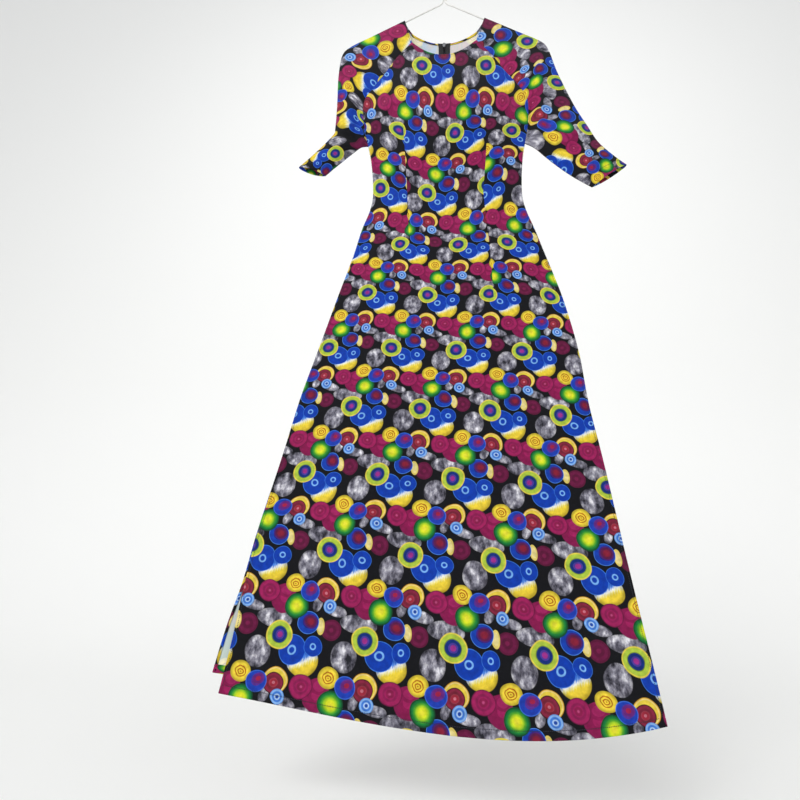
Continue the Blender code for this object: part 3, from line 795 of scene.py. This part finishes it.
def zip_gap(level):
    """Half the gap between the back's two edges."""
    return ZIP_MOUTH * hill(level, MOUTH_LENGTH)


def zip_edge(way, share, level):
    """How far a back half stands off the zip's line there, and how far its edge is turned in."""
    distance = share * 0.15  # roughly, in metres from the zip
    return way * (zip_gap(level) + 0.0001) * hill(distance, 0.006), -0.0005 * hill(distance, 0.0013)


def panel_sheet(name, panel, columns, way=0):
    """A panel's cloth; way is the side of the zip that a back half lies on."""
    levels = edge_levels(panel.length)

    def place(column, level):
        folded, inside = back_inside(level, panel.length)
        shift, turned_in = zip_edge(way, abs(column), folded) if way else (0.0, 0.0)
        dent = STITCH_DENT * hill(panel.length - folded - HEM_STITCH, DENT_WIDTH)
        spot = panel.spot(column, folded, turned_in - inside - dent)
        spot.point.x += shift
        return spot._replace(print_y=spot.print_y + (level - folded) / WAIST_REPEAT)

    darts = [(dart.side * DART_COLUMN, dart.side) for dart in panel.darts]
    return cloth_sheet(name, columns, levels, place, Vector((0, panel.side, 0)), darts)


SIDE_COLUMNS = [0.955, 0.970, 0.984, 0.994, 1.0]
half_columns = [DART_COLUMN * k / 30 for k in range(30)]
half_columns += [DART_COLUMN + (SIDE_COLUMNS[0] - DART_COLUMN) * k / 42 for k in range(42)] + SIDE_COLUMNS
front_columns = [-c for c in reversed(half_columns[1:])] + half_columns
zip_columns = [0.0, 0.004, 0.009, *half_columns[1:]]

front_cloth = panel_sheet("front_cloth", front, front_columns)
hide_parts("front_panel")
for way, side in ((1, "left"), (-1, "right")):
    cloth = panel_sheet(f"back_cloth_{side}", backs[way], [way * c for c in zip_columns], way)
    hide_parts(f"back_{side}")

# %% [markdown]
# ## The sleeves
#
# A raglan sleeve is one sheet that runs up to the neck. It goes from its seam on the front, over the
# hanger's arm, to its seam on the back, and under the arm its own two edges meet. So its levels are sections
# from the neck to the cuff, and its columns go round. At the fold the cloth rides over the round wire, and
# between fold and seam it puffs out softly.
#
# The right sleeve hangs straight and then kicks out at the elbow with a hard crease. The left one swings out
# in one line. Both were cut with the print's rows running down the arm, more or less.

# %% Tables of the sleeves
WIRE_RADIUS = 0.0017
RIDGE, RIDGE_WIDTH, RIDGE_DEPTH = 0.003, 0.0042, 0.0033  # the fold over the wire
ARM_START_DROP, ARM_SLOPE = 0.0085, 0.59  # the hanger's arm: its drop at the middle, and for each metre out

# x runs outwards; heading is the way the print's rows run: 90 is straight down and 0 straight out. Down to
# the underarm the seams follow the panels, and below it they meet at a place of their own.
Section = namedtuple("Section", "x drop puff heading scale seam_x seam_drop", defaults=(0, 0))


def on_the_arm(x):
    return ARM_START_DROP + ARM_SLOPE * x - RIDGE * math.hypot(1, ARM_SLOPE)


RIGHT_SECTIONS = [
    Section(0.085, on_the_arm(0.085), 0.001, 36, 1.3),  # neck edge
    Section(0.120, on_the_arm(0.120), 0.003, 38, 1.4),
    Section(0.155, on_the_arm(0.155), 0.004, 43, 1.45),
    Section(0.197, on_the_arm(0.197), 0.005, 52, 1.4),
    Section(0.2135, 0.143, 0.007, 60, 1.3),  # the shoulder's corner
    Section(0.218, 0.196, 0.009, 71, 1.15),
    Section(0.216, 0.270, 0.011, 79, 1.1),  # underarm
    Section(0.216, 0.325, 0.012, 76, 1, 0.161, 0.374),
    Section(0.2195, 0.345, 0.013, 62, 0.8, 0.176, 0.387),  # the bend
    Section(0.254, 0.388, 0.010, 46, 0.68, 0.208, 0.418),
    Section(0.286, 0.422, 0.007, 38, 0.65, 0.230, 0.441),  # cuff
]
LEFT_SECTIONS = [
    Section(0.085, on_the_arm(0.085), 0.001, 40, 1.35),  # neck edge
    Section(0.120, on_the_arm(0.120), 0.003, 42, 1.35),
    Section(0.155, on_the_arm(0.155), 0.004, 46, 1.3),
    Section(0.197, on_the_arm(0.197), 0.005, 55, 1.2),
    Section(0.2135, 0.143, 0.007, 63, 1.1),  # the shoulder's corner
    Section(0.230, 0.202, 0.009, 68, 1.08),
    Section(0.258, 0.280, 0.011, 66, 1.05),  # underarm
    Section(0.284, 0.336, 0.013, 58, 0.95, 0.182, 0.384),
    Section(0.303, 0.374, 0.012, 50, 0.88, 0.209, 0.412),  # the bend
    Section(0.330, 0.405, 0.009, 46, 0.85, 0.248, 0.447),
    Section(0.355, 0.428, 0.007, 45, 0.85, 0.2905, 0.4765),  # cuff
]
RIGHT_SLEEVE_CREASES = [  # x outwards, and the same on the front and the back
    Crease(0.226, 0.338, 0.158, 0.372, 0.0075, -0.0062),  # the hard crease at the elbow
    Crease(0.217, 0.312, 0.160, 0.350, 0.0080, 0.0040),
    Crease(0.238, 0.360, 0.182, 0.392, 0.0085, 0.0038),
    Crease(0.168, 0.250, 0.172, 0.365, 0.0070, -0.0044),  # down along the armhole
    Crease(0.186, 0.262, 0.192, 0.352, 0.0080, 0.0030),
    Crease(0.208, 0.190, 0.204, 0.300, 0.0080, -0.0022),
    Crease(0.268, 0.382, 0.228, 0.428, 0.0060, -0.0024),
    Crease(0.165, 0.150, 0.195, 0.250, 0.0120, 0.0022),
]
LEFT_SLEEVE_CREASES = [
    Crease(0.178, 0.262, 0.170, 0.380, 0.0070, -0.0052),  # down along the armhole
    Crease(0.196, 0.270, 0.188, 0.372, 0.0080, 0.0036),
    Crease(0.214, 0.285, 0.204, 0.372, 0.0070, -0.0026),
    Crease(0.298, 0.366, 0.216, 0.404, 0.0085, -0.0034),  # the soft bend
    Crease(0.286, 0.338, 0.205, 0.378, 0.0090, 0.0028),
    Crease(0.330, 0.398, 0.268, 0.442, 0.0070, 0.0026),
    Crease(0.345, 0.420, 0.290, 0.455, 0.0060, -0.0020),
    Crease(0.180, 0.160, 0.215, 0.270, 0.0130, 0.0024),
]
print("sleeve sections:", len(RIGHT_SECTIONS))

# %% Sleeves
SLEEVE_REPEAT, SLEEVE_ROW = 0.117, 0.124  # of the print, along and across the arm
CHART_STEPS = 60
FOLD_REACH, SOFT_SEAM = 0.02, 0.008  # creases fade out this near to the fold, and to the seams
SEAMS_APART = 0.0004  # half the gap between the two edges under the arm
LEAST_DEPTH = 0.0003


class Sleeve:
    """A sleeve's surface; way is 1 for the wearer's left. Columns run from -1 at the front seam, through 0 at
    the fold, to 1 at the back seam."""

    def __init__(self, way, sections, creases, print_start):
        self.way, self.sections, self.creases, self.print_start = way, sections, creases, print_start
        self.travel = [0.0]
        for first, second in zip(sections, sections[1:]):
            self.travel.append(self.travel[-1] + math.hypot(second.x - first.x, second.drop - first.drop))
        self.length = self.travel[-1]
        row = FRONT_ROWS[UNDERARM]
        seam = {"seam_x": way * row.sway + row.half_width, "seam_drop": row.side_drop}
        self.lower = [sections[UNDERARM]._replace(**seam), *sections[UNDERARM + 1 :]]
        self.known = {}
        self.chart = self.chart_of_print()

    def lines(self, level):
        """(section, fold, front seam, back seam) at a level, as points (outwards, depth, drop)."""
        if level not in self.known:
            position = position_at(self.travel, level)
            section = row_at(self.sections, position)
            seams = []
            for panel, side in ((front, -1), (backs[self.way], 1)):
                if position <= UNDERARM:
                    spot = panel.spot_across(self.way, row_at(panel.rows, position), position)
                    x = self.way * spot.point.x + 2 * SEAM_CLEARANCE
                    seams.append(Vector((x, spot.point.y, -FORK_BELOW_HOOK - spot.point.z)))
                else:
                    lower = row_at(self.lower, position - UNDERARM)
                    seams.append(Vector((lower.seam_x, side * SEAMS_APART, lower.seam_drop)))
            self.known[level] = (section, Vector((section.x, 0, section.drop)), *seams)
        return self.known[level]

    def chart_of_print(self):
        """For many levels down the arm: (level, (along, aside) of the fold's line there, heading, scale)."""
        chart, place = [], Vector((0, 0))
        for k in range(CHART_STEPS + 1):
            level = self.length * k / CHART_STEPS
            section, fold, *_ = self.lines(level)
            heading = math.radians(section.heading)
            if chart:
                moved = (fold - before) / section.scale
                turn = (heading + chart[-1][2]) / 2
                out, down = math.cos(turn), math.sin(turn)
                place = place + Vector((moved.x * out + moved.z * down, moved.x * down - moved.z * out))
            chart.append((level, place, heading, section.scale))
            before = fold
        return chart

    def print_at(self, level, out, down):
        """The place in the print of a spot that far outwards and down from the fold at a level."""
        position = position_at([entry[0] for entry in self.chart], level)
        index = min(int(position), len(self.chart) - 2)
        share = position - index
        (_, place, heading, scale), (_, next_place, next_heading, next_scale) = self.chart[index : index + 2]
        place = place.lerp(next_place, share)
        heading += (next_heading - heading) * share
        scale += (next_scale - scale) * share
        along = place.x + (out * math.cos(heading) + down * math.sin(heading)) / scale
        aside = place.y + (out * math.sin(heading) - down * math.cos(heading)) / scale
        start_x, start_y = self.print_start
        return start_x - self.way * along / SLEEVE_REPEAT, start_y + aside / SLEEVE_ROW

    def spot(self, column, level, inside=0.0):
        """The cloth at a column and level; inside is how far a turned edge lies within the sleeve."""
        section, fold, front_seam, back_seam = self.lines(level)
        side, seam = (1, back_seam) if column > 0 else (-1, front_seam)
        run = Vector((seam.x - fold.x, 0, seam.z - fold.z))
        share = abs(column)
        distance, near_seam = share * run.length, (1 - share) * run.length
        ridge = RIDGE_DEPTH * math.sqrt(1 - (1 - min(distance / RIDGE_WIDTH, 1)) ** 2)
        depth = ridge + (abs(seam.y) - RIDGE_DEPTH) * share + 4 * section.puff * share * (1 - share)
        depth = max(depth, 0.0) if share < 1 else abs(seam.y)
        place = fold + run * share
        rounded = min(1.0, distance / FOLD_REACH)
        depth += crease_height(self.creases, place.x, place.z) * rounded * (1 - hill(near_seam, SOFT_SEAM))
        if share < 1:
            depth -= SEAM_DIP * hill(near_seam, SEAM_WIDTH) / 2
        depth = max(depth, LEAST_DEPTH)
        if inside:  # a turned edge keeps inside the cloth, also under the fold
            depth = max(depth - inside, 0.0)
            place = place + Vector((-0.3, 0, 1)) * inside * (1 - rounded)
        out, down = place.x - fold.x, place.z - fold.z
        if side > 0:  # laid flat, the back lies beyond the fold's line
            heading = math.radians(section.heading)
            beyond = out * math.sin(heading) - down * math.cos(heading)
            out, down = out - 2 * beyond * math.sin(heading), down + 2 * beyond * math.cos(heading)
        point = Vector((self.way * place.x, side * depth, -FORK_BELOW_HOOK - place.z))
        return Spot(point, *self.print_at(level, out, down))


def sleeve_sheet(name, sleeve):
    def place(column, level):
        folded, inside = back_inside(level, sleeve.length)
        return sleeve.spot(column, folded, inside)

    # Columns lie closer together at the fold and at the seams.
    half = [0.0, 0.006, 0.014, 0.026, 0.045] + [0.07 + 0.88 * k / 34 for k in range(34)]
    half += [0.955, 0.972, 0.986, 1.0]
    columns = [-c for c in reversed(half[1:])] + half
    return cloth_sheet(name, columns, edge_levels(sleeve.length), place, Vector((sleeve.way, 0, 1)))


sleeves = {
    -1: Sleeve(-1, RIGHT_SECTIONS, RIGHT_SLEEVE_CREASES, (0.46, -0.04)),
    1: Sleeve(1, LEFT_SECTIONS, LEFT_SLEEVE_CREASES, (-0.42, 0.27)),
}
for way, side in ((1, "left"), (-1, "right")):
    sleeve_sheet(f"sleeve_cloth_{side}", sleeves[way])
    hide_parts(f"sleeve_{side}")

# %% [markdown]
# ## Turned edges of the slits
#
# From the hip down the front and the back hang free, and each open edge is turned in and stitched. The turned
# strip starts at the panel's own edge and lies just inside it, right side inwards, so that the print shows on
# it. It is a narrow sheet of its own, since a grid can't fold on two sides at once.

# %% Slit edges
SLIT_TURN = 0.005
STRIP_SHARES = [0.0, 0.12, 0.3, 0.55, 0.8, 1.0]


def slit_strip(name, panel, way):
    """The turned edge of a slit; way is the side of the panel it lies on."""
    run = panel.length - 0.001 - panel.slit_start
    steps = round(run / 0.006)
    levels = [panel.slit_start + run * k / steps for k in range(steps + 1)]

    def place(share, level):
        position, row, _ = panel.level(level)
        inwards = share * SLIT_TURN
        lift = -TURN_GAP * smooth_step(share / 0.25)
        spot = panel.spot_across(way * (1 - inwards / row.half_width), row, position, lift)
        edge = row.sway + way * (row.half_width + inwards)
        print_x, print_y = print_place(edge, row.side_drop + row.tilt * way * 0.3)  # as at the panel's edge
        return Spot(spot.point, print_x + panel.print_shift, print_y)

    return cloth_sheet(name, STRIP_SHARES, levels, place, Vector((0, -panel.side, 0)))


front_strips, back_strips = [], {}
for way, side in ((1, "left"), (-1, "right")):
    front_strips.append(slit_strip(f"slit_edge_front_{side}", front, way))
for way, side in ((1, "left"), (-1, "right")):
    back_strips[way] = slit_strip(f"slit_edge_back_{side}", backs[way], way)
print("each slit is", round(front.length - front.drops[SLIT_TOP] + front.drops[0], 3), "m long")

# %% [markdown]
# ## Stitches
#
# Neck, cuffs, slits and hem are topstitched in dark thread. A stitch is a small stretched ball, about as
# long as the real 2.5 mm, and a whole line of them is one mesh. Each lies on the cloth along the line's own
# direction, a little sunk in.

# %% Stitches
STITCH, STITCH_WIDTH, STITCH_GAP = 0.0021, 0.0005, 0.0026
NECK_STITCH, SLIT_STITCH = 0.0045, 0.004  # how far from the edge the lines run

# One ball is made, and its corners are copied: thousands of balls made one by one would take minutes.
ball = bmesh.new()
bmesh.ops.create_uvsphere(ball, u_segments=6, v_segments=4, radius=1)
BALL_CORNERS = [vert.co.copy() for vert in ball.verts]
BALL_FACES = [[vert.index for vert in face.verts] for face in ball.faces]
ball.free()


def sew(places, points):
    """Adds the place of a stitch for every 2.6 mm along a line of points."""
    travelled, following = 0.0, 0.0
    for first, second in zip(points, points[1:]):
        step = (second - first).length
        while following <= travelled + step and step > 0:
            middle = first.lerp(second, (following - travelled) / step)
            turn = (second - first).to_track_quat("X", "Z").to_matrix().to_4x4()
            size = Matrix.Diagonal((STITCH / 2, STITCH_WIDTH, STITCH_WIDTH, 1))
            places.append(Matrix.Translation(middle) @ turn @ size)
            following += STITCH_GAP
        travelled += step


def stitches(name, places):
    """One mesh with a stitch at each place."""
    corners = [place @ corner for place in places for corner in BALL_CORNERS]
    count = len(BALL_CORNERS)
    faces = [[k * count + index for index in face] for k in range(len(places)) for face in BALL_FACES]
    mesh = bpy.data.meshes.new(name)
    mesh.from_pydata(corners, [], faces)
    placed(name, mesh, [thread])


def along_panel(panel, level, start, end, count=160):
    """Points on the cloth's outside along one level, from one share of the width to another."""
    position, row, _ = panel.level(level)
    shares = [start + (end - start) * k / count for k in range(count + 1)]
    return [panel.spot_across(share, row, position, WALL / 2).point for share in shares]


def down_panel(panel, way, count=200):
    """Points down the slit's edge, from its top to the line of the hem's stitches."""
    run = panel.length - HEM_STITCH - panel.slit_start
    points = []
    for k in range(count + 1):
        position, row, _ = panel.level(panel.slit_start + run * k / count)
        across = way * (1 - SLIT_STITCH / row.half_width)
        points.append(panel.spot_across(across, row, position, WALL / 2).point)
    return points


def round_sleeve(sleeve, level, count=120):
    """Points round a sleeve at a level, from one seam to the other."""
    columns = [-0.985 + 1.97 * k / count for k in range(count + 1)]
    points = [sleeve.spot(column, level).point for column in columns]
    return [point + Vector((0, math.copysign(WALL / 2, column), 0)) for point, column in zip(points, columns)]


neck_thread, edge_thread = [], []
sew(neck_thread, along_panel(front, NECK_STITCH, -0.98, 0.98))
for way in (1, -1):
    back, sleeve = backs[way], sleeves[way]
    sew(neck_thread, along_panel(back, NECK_STITCH, way * 0.03, way * 0.98))
    sew(neck_thread, round_sleeve(sleeve, NECK_STITCH))
    sew(edge_thread, round_sleeve(sleeve, sleeve.length - HEM_STITCH))
    sew(edge_thread, along_panel(back, back.length - HEM_STITCH, way * 0.004, way * 0.97))
    sew(edge_thread, down_panel(front, way))
    sew(edge_thread, down_panel(back, way))
sew(edge_thread, along_panel(front, front.length - HEM_STITCH, -0.975, 0.975, 400))
stitches("neck_stitches", neck_thread)
stitches("edge_stitches", edge_thread)
print(len(neck_thread) + len(edge_thread), "stitches")

# %% [markdown]
# ## The zip
#
# A concealed zip closes the centre back: two woven tapes inside, a nylon coil along the edge of each, and a
# slider at the top. Only its flat pull tab hangs outside. A coil is one thin tube wound round and round, and
# its loops lean towards the other side's.

# %% Tapes and coils
TAPE, TAPE_WIDTH, TAPE_ROWS = 0.0005, 0.012, 11
TAPE_COLUMNS = [0.0002, 0.003, 0.006, 0.009, TAPE_WIDTH]
TAPE_DEPTH, TAPE_TUCK, COIL_DEPTH = 0.0013, 0.0008, 0.0026  # inside the back's surface
SLIDER_ROOM = 0.012  # at the top, where the slider stands and the coils are not yet closed
COIL_RADIUS, COIL_WIRE, COIL_PITCH, LOOP_CORNERS = 0.0007, 0.00022, 0.0013, 8
COIL_ASIDE = 0.0011  # from the zip's line to a coil's middle
zip_length = backs[1].drops[TAPE_ROWS] - backs[1].drops[0]
loops = int((zip_length - 0.016) / COIL_PITCH)


def zip_spot(way, across, level, lift):
    """A spot by the zip: that far from its line, and lifted off the back's surface."""
    position, row, _ = backs[way].level(level)
    return backs[way].spot_across(way * (across + zip_gap(level)) / row.half_width, row, position, lift)


def tube(name, points, radius, resolution, material, slot, caps=True):
    """A round wire through the points, as a curve with a bevel."""
    curve = bpy.data.curves.new(name, "CURVE")
    curve.dimensions = "3D"
    curve.bevel_depth = radius
    curve.bevel_resolution = resolution
    curve.use_fill_caps = caps
    line = curve.splines.new("POLY")
    line.points.add(len(points) - 1)
    for point, place in zip(line.points, points):
        point.co = (*place, 1)
    return placed(name, curve, [material], "tunic", slot)


def tape_spot(way):
    """Where a tape's corners go: inside the back, and deeper where the slider holds it at the top."""

    def place(across, level):
        deeper = TAPE_TUCK * (1 - smooth_step(level / SLIDER_ROOM))
        return zip_spot(way, across, level, -TAPE_DEPTH - deeper)

    return place


for way, side in ((1, "left"), (-1, "right")):
    levels = [0.0008, 0.003, 0.006] + [0.009 + (zip_length - 0.009) * k / 90 for k in range(91)]
    tape = cloth_sheet(
        f"tape_{side}", TAPE_COLUMNS, levels, tape_spot(way),
        wall=TAPE, materials=(woven_tape,), slot="zip_tape",
    )
    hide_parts(f"zip_tape_{side}")

    winding = []
    for k in range(loops * LOOP_CORNERS):
        angle = 2 * math.pi * k / LOOP_CORNERS
        centre = zip_spot(way, COIL_ASIDE, SLIDER_ROOM + COIL_PITCH * k / LOOP_CORNERS, -COIL_DEPTH).point
        winding.append(centre + COIL_RADIUS * Vector((math.cos(angle), math.sin(angle), 0)))
    tube(f"coil_{side}", winding, COIL_WIRE, 1, nylon_coil, "zip_tape", caps=False)
print("zip", round(zip_length, 3), "m long,", loops, "loops on each side")

# %% [markdown]
# The slider is two plates joined by a narrow neck that parts the coils. A small bail outside carries the pull
# tab, which swings on it. Plates are cut from an outline, drawn as half its width at each height, and their
# edges are rounded.

# %% Slider and pull tab
slider_low, slider_high = (Vector(corner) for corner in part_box("zip_slider"))
pull_low, pull_high = (Vector(corner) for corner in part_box("zip_pull"))
zip_x = (pull_low.x + pull_high.x) / 2
AXIS = Vector((zip_x, (pull_low.y + pull_high.y) / 2, pull_high.z - 0.0005))  # the tab swings about it


def plate(shape, outline, front_y, back_y, rounding):
    """A plate from half its outline, (half width, height) from the top down."""
    corners = [(x, z) for x, z in outline] + [(-x, z) for x, z in reversed(outline)]
    ring = [shape.verts.new((zip_x + x, front_y, z)) for x, z in corners]
    grown = bmesh.ops.extrude_face_region(shape, geom=[shape.faces.new(ring)])["geom"]
    moved = [item for item in grown if isinstance(item, bmesh.types.BMVert)]
    bmesh.ops.translate(shape, vec=(0, back_y - front_y, 0), verts=moved)
    edges = {edge for vert in ring + moved for edge in vert.link_edges}
    rims = [edge for edge in edges if abs(edge.verts[0].co.y - edge.verts[1].co.y) < 1e-6]
    settings = {"segments": 2, "profile": 0.5, "affect": "EDGES", "material": -1, "clamp_overlap": True}
    bmesh.ops.bevel(shape, geom=rims, offset=rounding, **settings)


top, inside = slider_high.z, slider_low.y
outside = inside + 0.0022
body = [(0.0018, 0), (0.0031, -0.0012), (0.0032, -0.0045), (0.0022, -0.0082), (0.0021, -0.0105)]
cap = [(0.0012, -0.0010), (0.0022, -0.0020), (0.0022, -0.0068), (0.0012, -0.0078)]
neck = [(0.0008, -0.0022), (0.0008, -0.0052)]
slider = bmesh.new()
for outline, start, end, rounding in (
    (body, inside, inside + 0.0009, 0.0002),
    (body, outside - 0.0008, outside, 0.0002),
    (neck, inside + 0.0005, AXIS.y - 0.0012, 0.0001),
    (cap, AXIS.y - 0.0024, AXIS.y - 0.0014, 0.0002),
):
    plate(slider, [(x, top + z) for x, z in outline], start, end, rounding)
bmesh.ops.recalc_face_normals(slider, faces=slider.faces)
slider_piece = finished("slider", slider, [lacquered_zinc], "tunic", "zip_metal")
slider_piece.data.shade_flat()
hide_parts("zip_slider")

BAIL_RADIUS, BAIL_WIRE = 0.0017, 0.00045
bail = []
for k in range(13):
    angle = math.radians(-120 + 20 * k)
    bail.append((zip_x, AXIS.y + BAIL_RADIUS * math.cos(angle), AXIS.z + BAIL_RADIUS * math.sin(angle)))
tube("bail", bail, BAIL_WIRE, 3, lacquered_zinc, "zip_metal")

# The tab is a ring of faces between its outline and its eye, given a thickness and rounded edges.
LENGTH, AROUND = AXIS.z - pull_low.z, 32
tab = bmesh.new()
rims = []
for half_width, upper, lower, taper in ((0.0023, 0.0005, -LENGTH, 0.35), (0.0011, -0.0006, -0.0036, 0.0)):
    loop = []
    for k in range(AROUND):
        angle = 2 * math.pi * k / AROUND
        height = math.copysign(abs(math.cos(angle)) ** 0.8, math.cos(angle))
        width = math.copysign(abs(math.sin(angle)) ** 0.55, math.sin(angle)) * (1 - taper * (1 + height) / 2)
        z = (upper + lower) / 2 + (upper - lower) / 2 * height
        loop.append(tab.verts.new((AXIS.x + half_width * width, AXIS.y, AXIS.z + z)))
    rims += [tab.edges.new((loop[k], loop[(k + 1) % AROUND])) for k in range(AROUND)]
bmesh.ops.bridge_loops(tab, edges=rims)
pull_piece = finished("pull_tab", tab, [lacquered_zinc], "pull_tab", "zip_metal")
thick = pull_piece.modifiers.new("thickness", "SOLIDIFY")
thick.thickness = 0.0011
thick.offset = 0
rounded = pull_piece.modifiers.new("rounded edges", "BEVEL")
rounded.width = 0.0003
rounded.segments = 2
rounded.limit_method = "ANGLE"
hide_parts("zip_pull")
print("pull tab", round(LENGTH * 1000, 1), "mm long")

# %% [markdown]
# ## The hanger
#
# A plain wire hanger: one coated wire that starts at the hook, runs down the stem, along one arm, round a
# corner, back along the bar, up the other arm, and ends in a twist round the stem. It is a curve with a
# round bevel, on the same route as the frame's wire but finer.

# %% Hanger
HOOK_RADIUS, BAR_DROP, HANGER_HALF_WIDTH = 0.0197, 0.154, 0.2025
TWIST_TURNS, TWIST_PITCH, WIRE_GAP = 4, 0.0039, 0.0003


def arc(centre_x, centre_drop, radius, start, end, count):
    """Points of an arc in the hanger's plane, angles in degrees, 0 outwards and 90 up."""
    angles = [math.radians(start + (end - start) * k / count) for k in range(count + 1)]
    return [(centre_x + radius * math.cos(a), 0, centre_drop - radius * math.sin(a)) for a in angles]


hook = arc(0, HOOK_RADIUS - WIRE_RADIUS - FORK_BELOW_HOOK, HOOK_RADIUS, 205, -48, 40)
stem = [(0.0072, 0, -0.0485), (0.0028, 0, -0.0430), (0.0005, 0, -0.0370), (0, 0, -0.0310), (0, 0, 0)]
fork = [(0.0006, 0, 0.0045), (0.0025, 0, 0.0090), (0.0060, 0, 0.0130), (0.0110, 0, 0.0158)]
slope = math.atan(ARM_SLOPE)
arm_reach = (BAR_DROP - ARM_START_DROP) / ARM_SLOPE  # where the arm would meet the bar with no bend
bend = (arm_reach - HANGER_HALF_WIDTH) / ((1 + 1 / math.cos(slope)) / ARM_SLOPE - 1)
corner = arc(HANGER_HALF_WIDTH - bend, BAR_DROP - bend, bend, 90 - math.degrees(slope), -90, 24)
half = [(x, 0, ARM_START_DROP + ARM_SLOPE * x) for x in (0.017, 0.07, 0.13)] + corner
rise = [(-0.0105, 0, 0.0150), (-0.0070, 0, 0.0118), (-0.0050, 0, 0.0075), (-0.0041, 0, 0.0030)]
twist = []
for k in range(TWIST_TURNS * 20 + 1):
    turn, reach = math.radians(180 + 18 * k), 2 * WIRE_RADIUS + WIRE_GAP
    twist.append((reach * math.cos(turn), reach * math.sin(turn), -0.0012 - TWIST_PITCH * k / 20))
route = hook + stem + fork + half + [(-x, y, drop) for x, y, drop in reversed(half)] + rise + twist

points = [(x, y, -FORK_BELOW_HOOK - drop) for x, y, drop in route]
hanger = tube("wire_hanger", points, WIRE_RADIUS, 5, coated_wire, "coated_wire")
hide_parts("hanger")
print("the wire's route has", len(route), "points")

# %% [markdown]
# ## Floor and light
#
# The tunic hangs in front of a pale sweep: a floor that curves up into a wall, as in a studio. Two large soft
# lights from the front, one on the wall, wide daylight and a pale surround light it evenly, so that the print
# keeps its colours.

# %% Studio
FLOOR, WALL_AT, BEND = -1.62, 2.6, 1.6  # the wall's distance, and the radius of the curve up to it
sweep = bmesh.new()
bmesh.ops.create_grid(sweep, x_segments=1, y_segments=60, size=1)
for vert in sweep.verts:
    run = (vert.co.y + 1) * 6 - 3  # along the paper, from 3 m in front of the tunic
    turned = max(0.0, min((run - WALL_AT + BEND) / BEND, math.pi / 2))
    up = max(0.0, run - WALL_AT + BEND - BEND * math.pi / 2)
    away = min(run, WALL_AT - BEND) + BEND * math.sin(turned)
    vert.co = (vert.co.x * 8, away, FLOOR + BEND * (1 - math.cos(turned)) + up)
paper = bpy.data.meshes.new("backdrop")
sweep.to_mesh(paper)
sweep.free()
paper.shade_smooth()
paper.materials.append(new_material("pale paper", Base_Color=linear("f4f4f2"), Roughness=0.95)[0])
in_scene("backdrop", paper)


def lamp(name, kind, place, aim, **settings):
    """A light at a place that shines towards another."""
    light = bpy.data.lights.new(name, kind)
    for key, value in settings.items():
        setattr(light, key, value)
    direction = Vector(aim) - Vector(place)
    turn = direction.to_track_quat("-Z", "Y").to_matrix().to_4x4()
    in_scene(name, light).matrix_world = Matrix.Translation(place) @ turn


lamp("key", "AREA", (-1.7, -2.4, 0.8), (0, 0, -0.8), size=1.6, energy=28)
lamp("fill", "AREA", (1.9, -2.2, -0.2), (0, 0, -0.8), size=2.2, energy=8)
lamp("backdrop light", "AREA", (0, 0.4, 1.7), (0, 2.6, 0.6), size=3.0, energy=22)
lamp("daylight", "SUN", (0, 0, 0), (0.35, 0.8, -0.5), energy=1.1, angle=math.radians(35))

world = bpy.data.worlds.new("studio")
bpy.context.scene.world = world
world.use_nodes = True
surround = world.node_tree.nodes["Background"].inputs
surround["Color"].default_value = linear("f3f5f8")
surround["Strength"].default_value = 0.48
bpy.context.scene.view_settings.view_transform = "Standard"
print("three soft lights and daylight")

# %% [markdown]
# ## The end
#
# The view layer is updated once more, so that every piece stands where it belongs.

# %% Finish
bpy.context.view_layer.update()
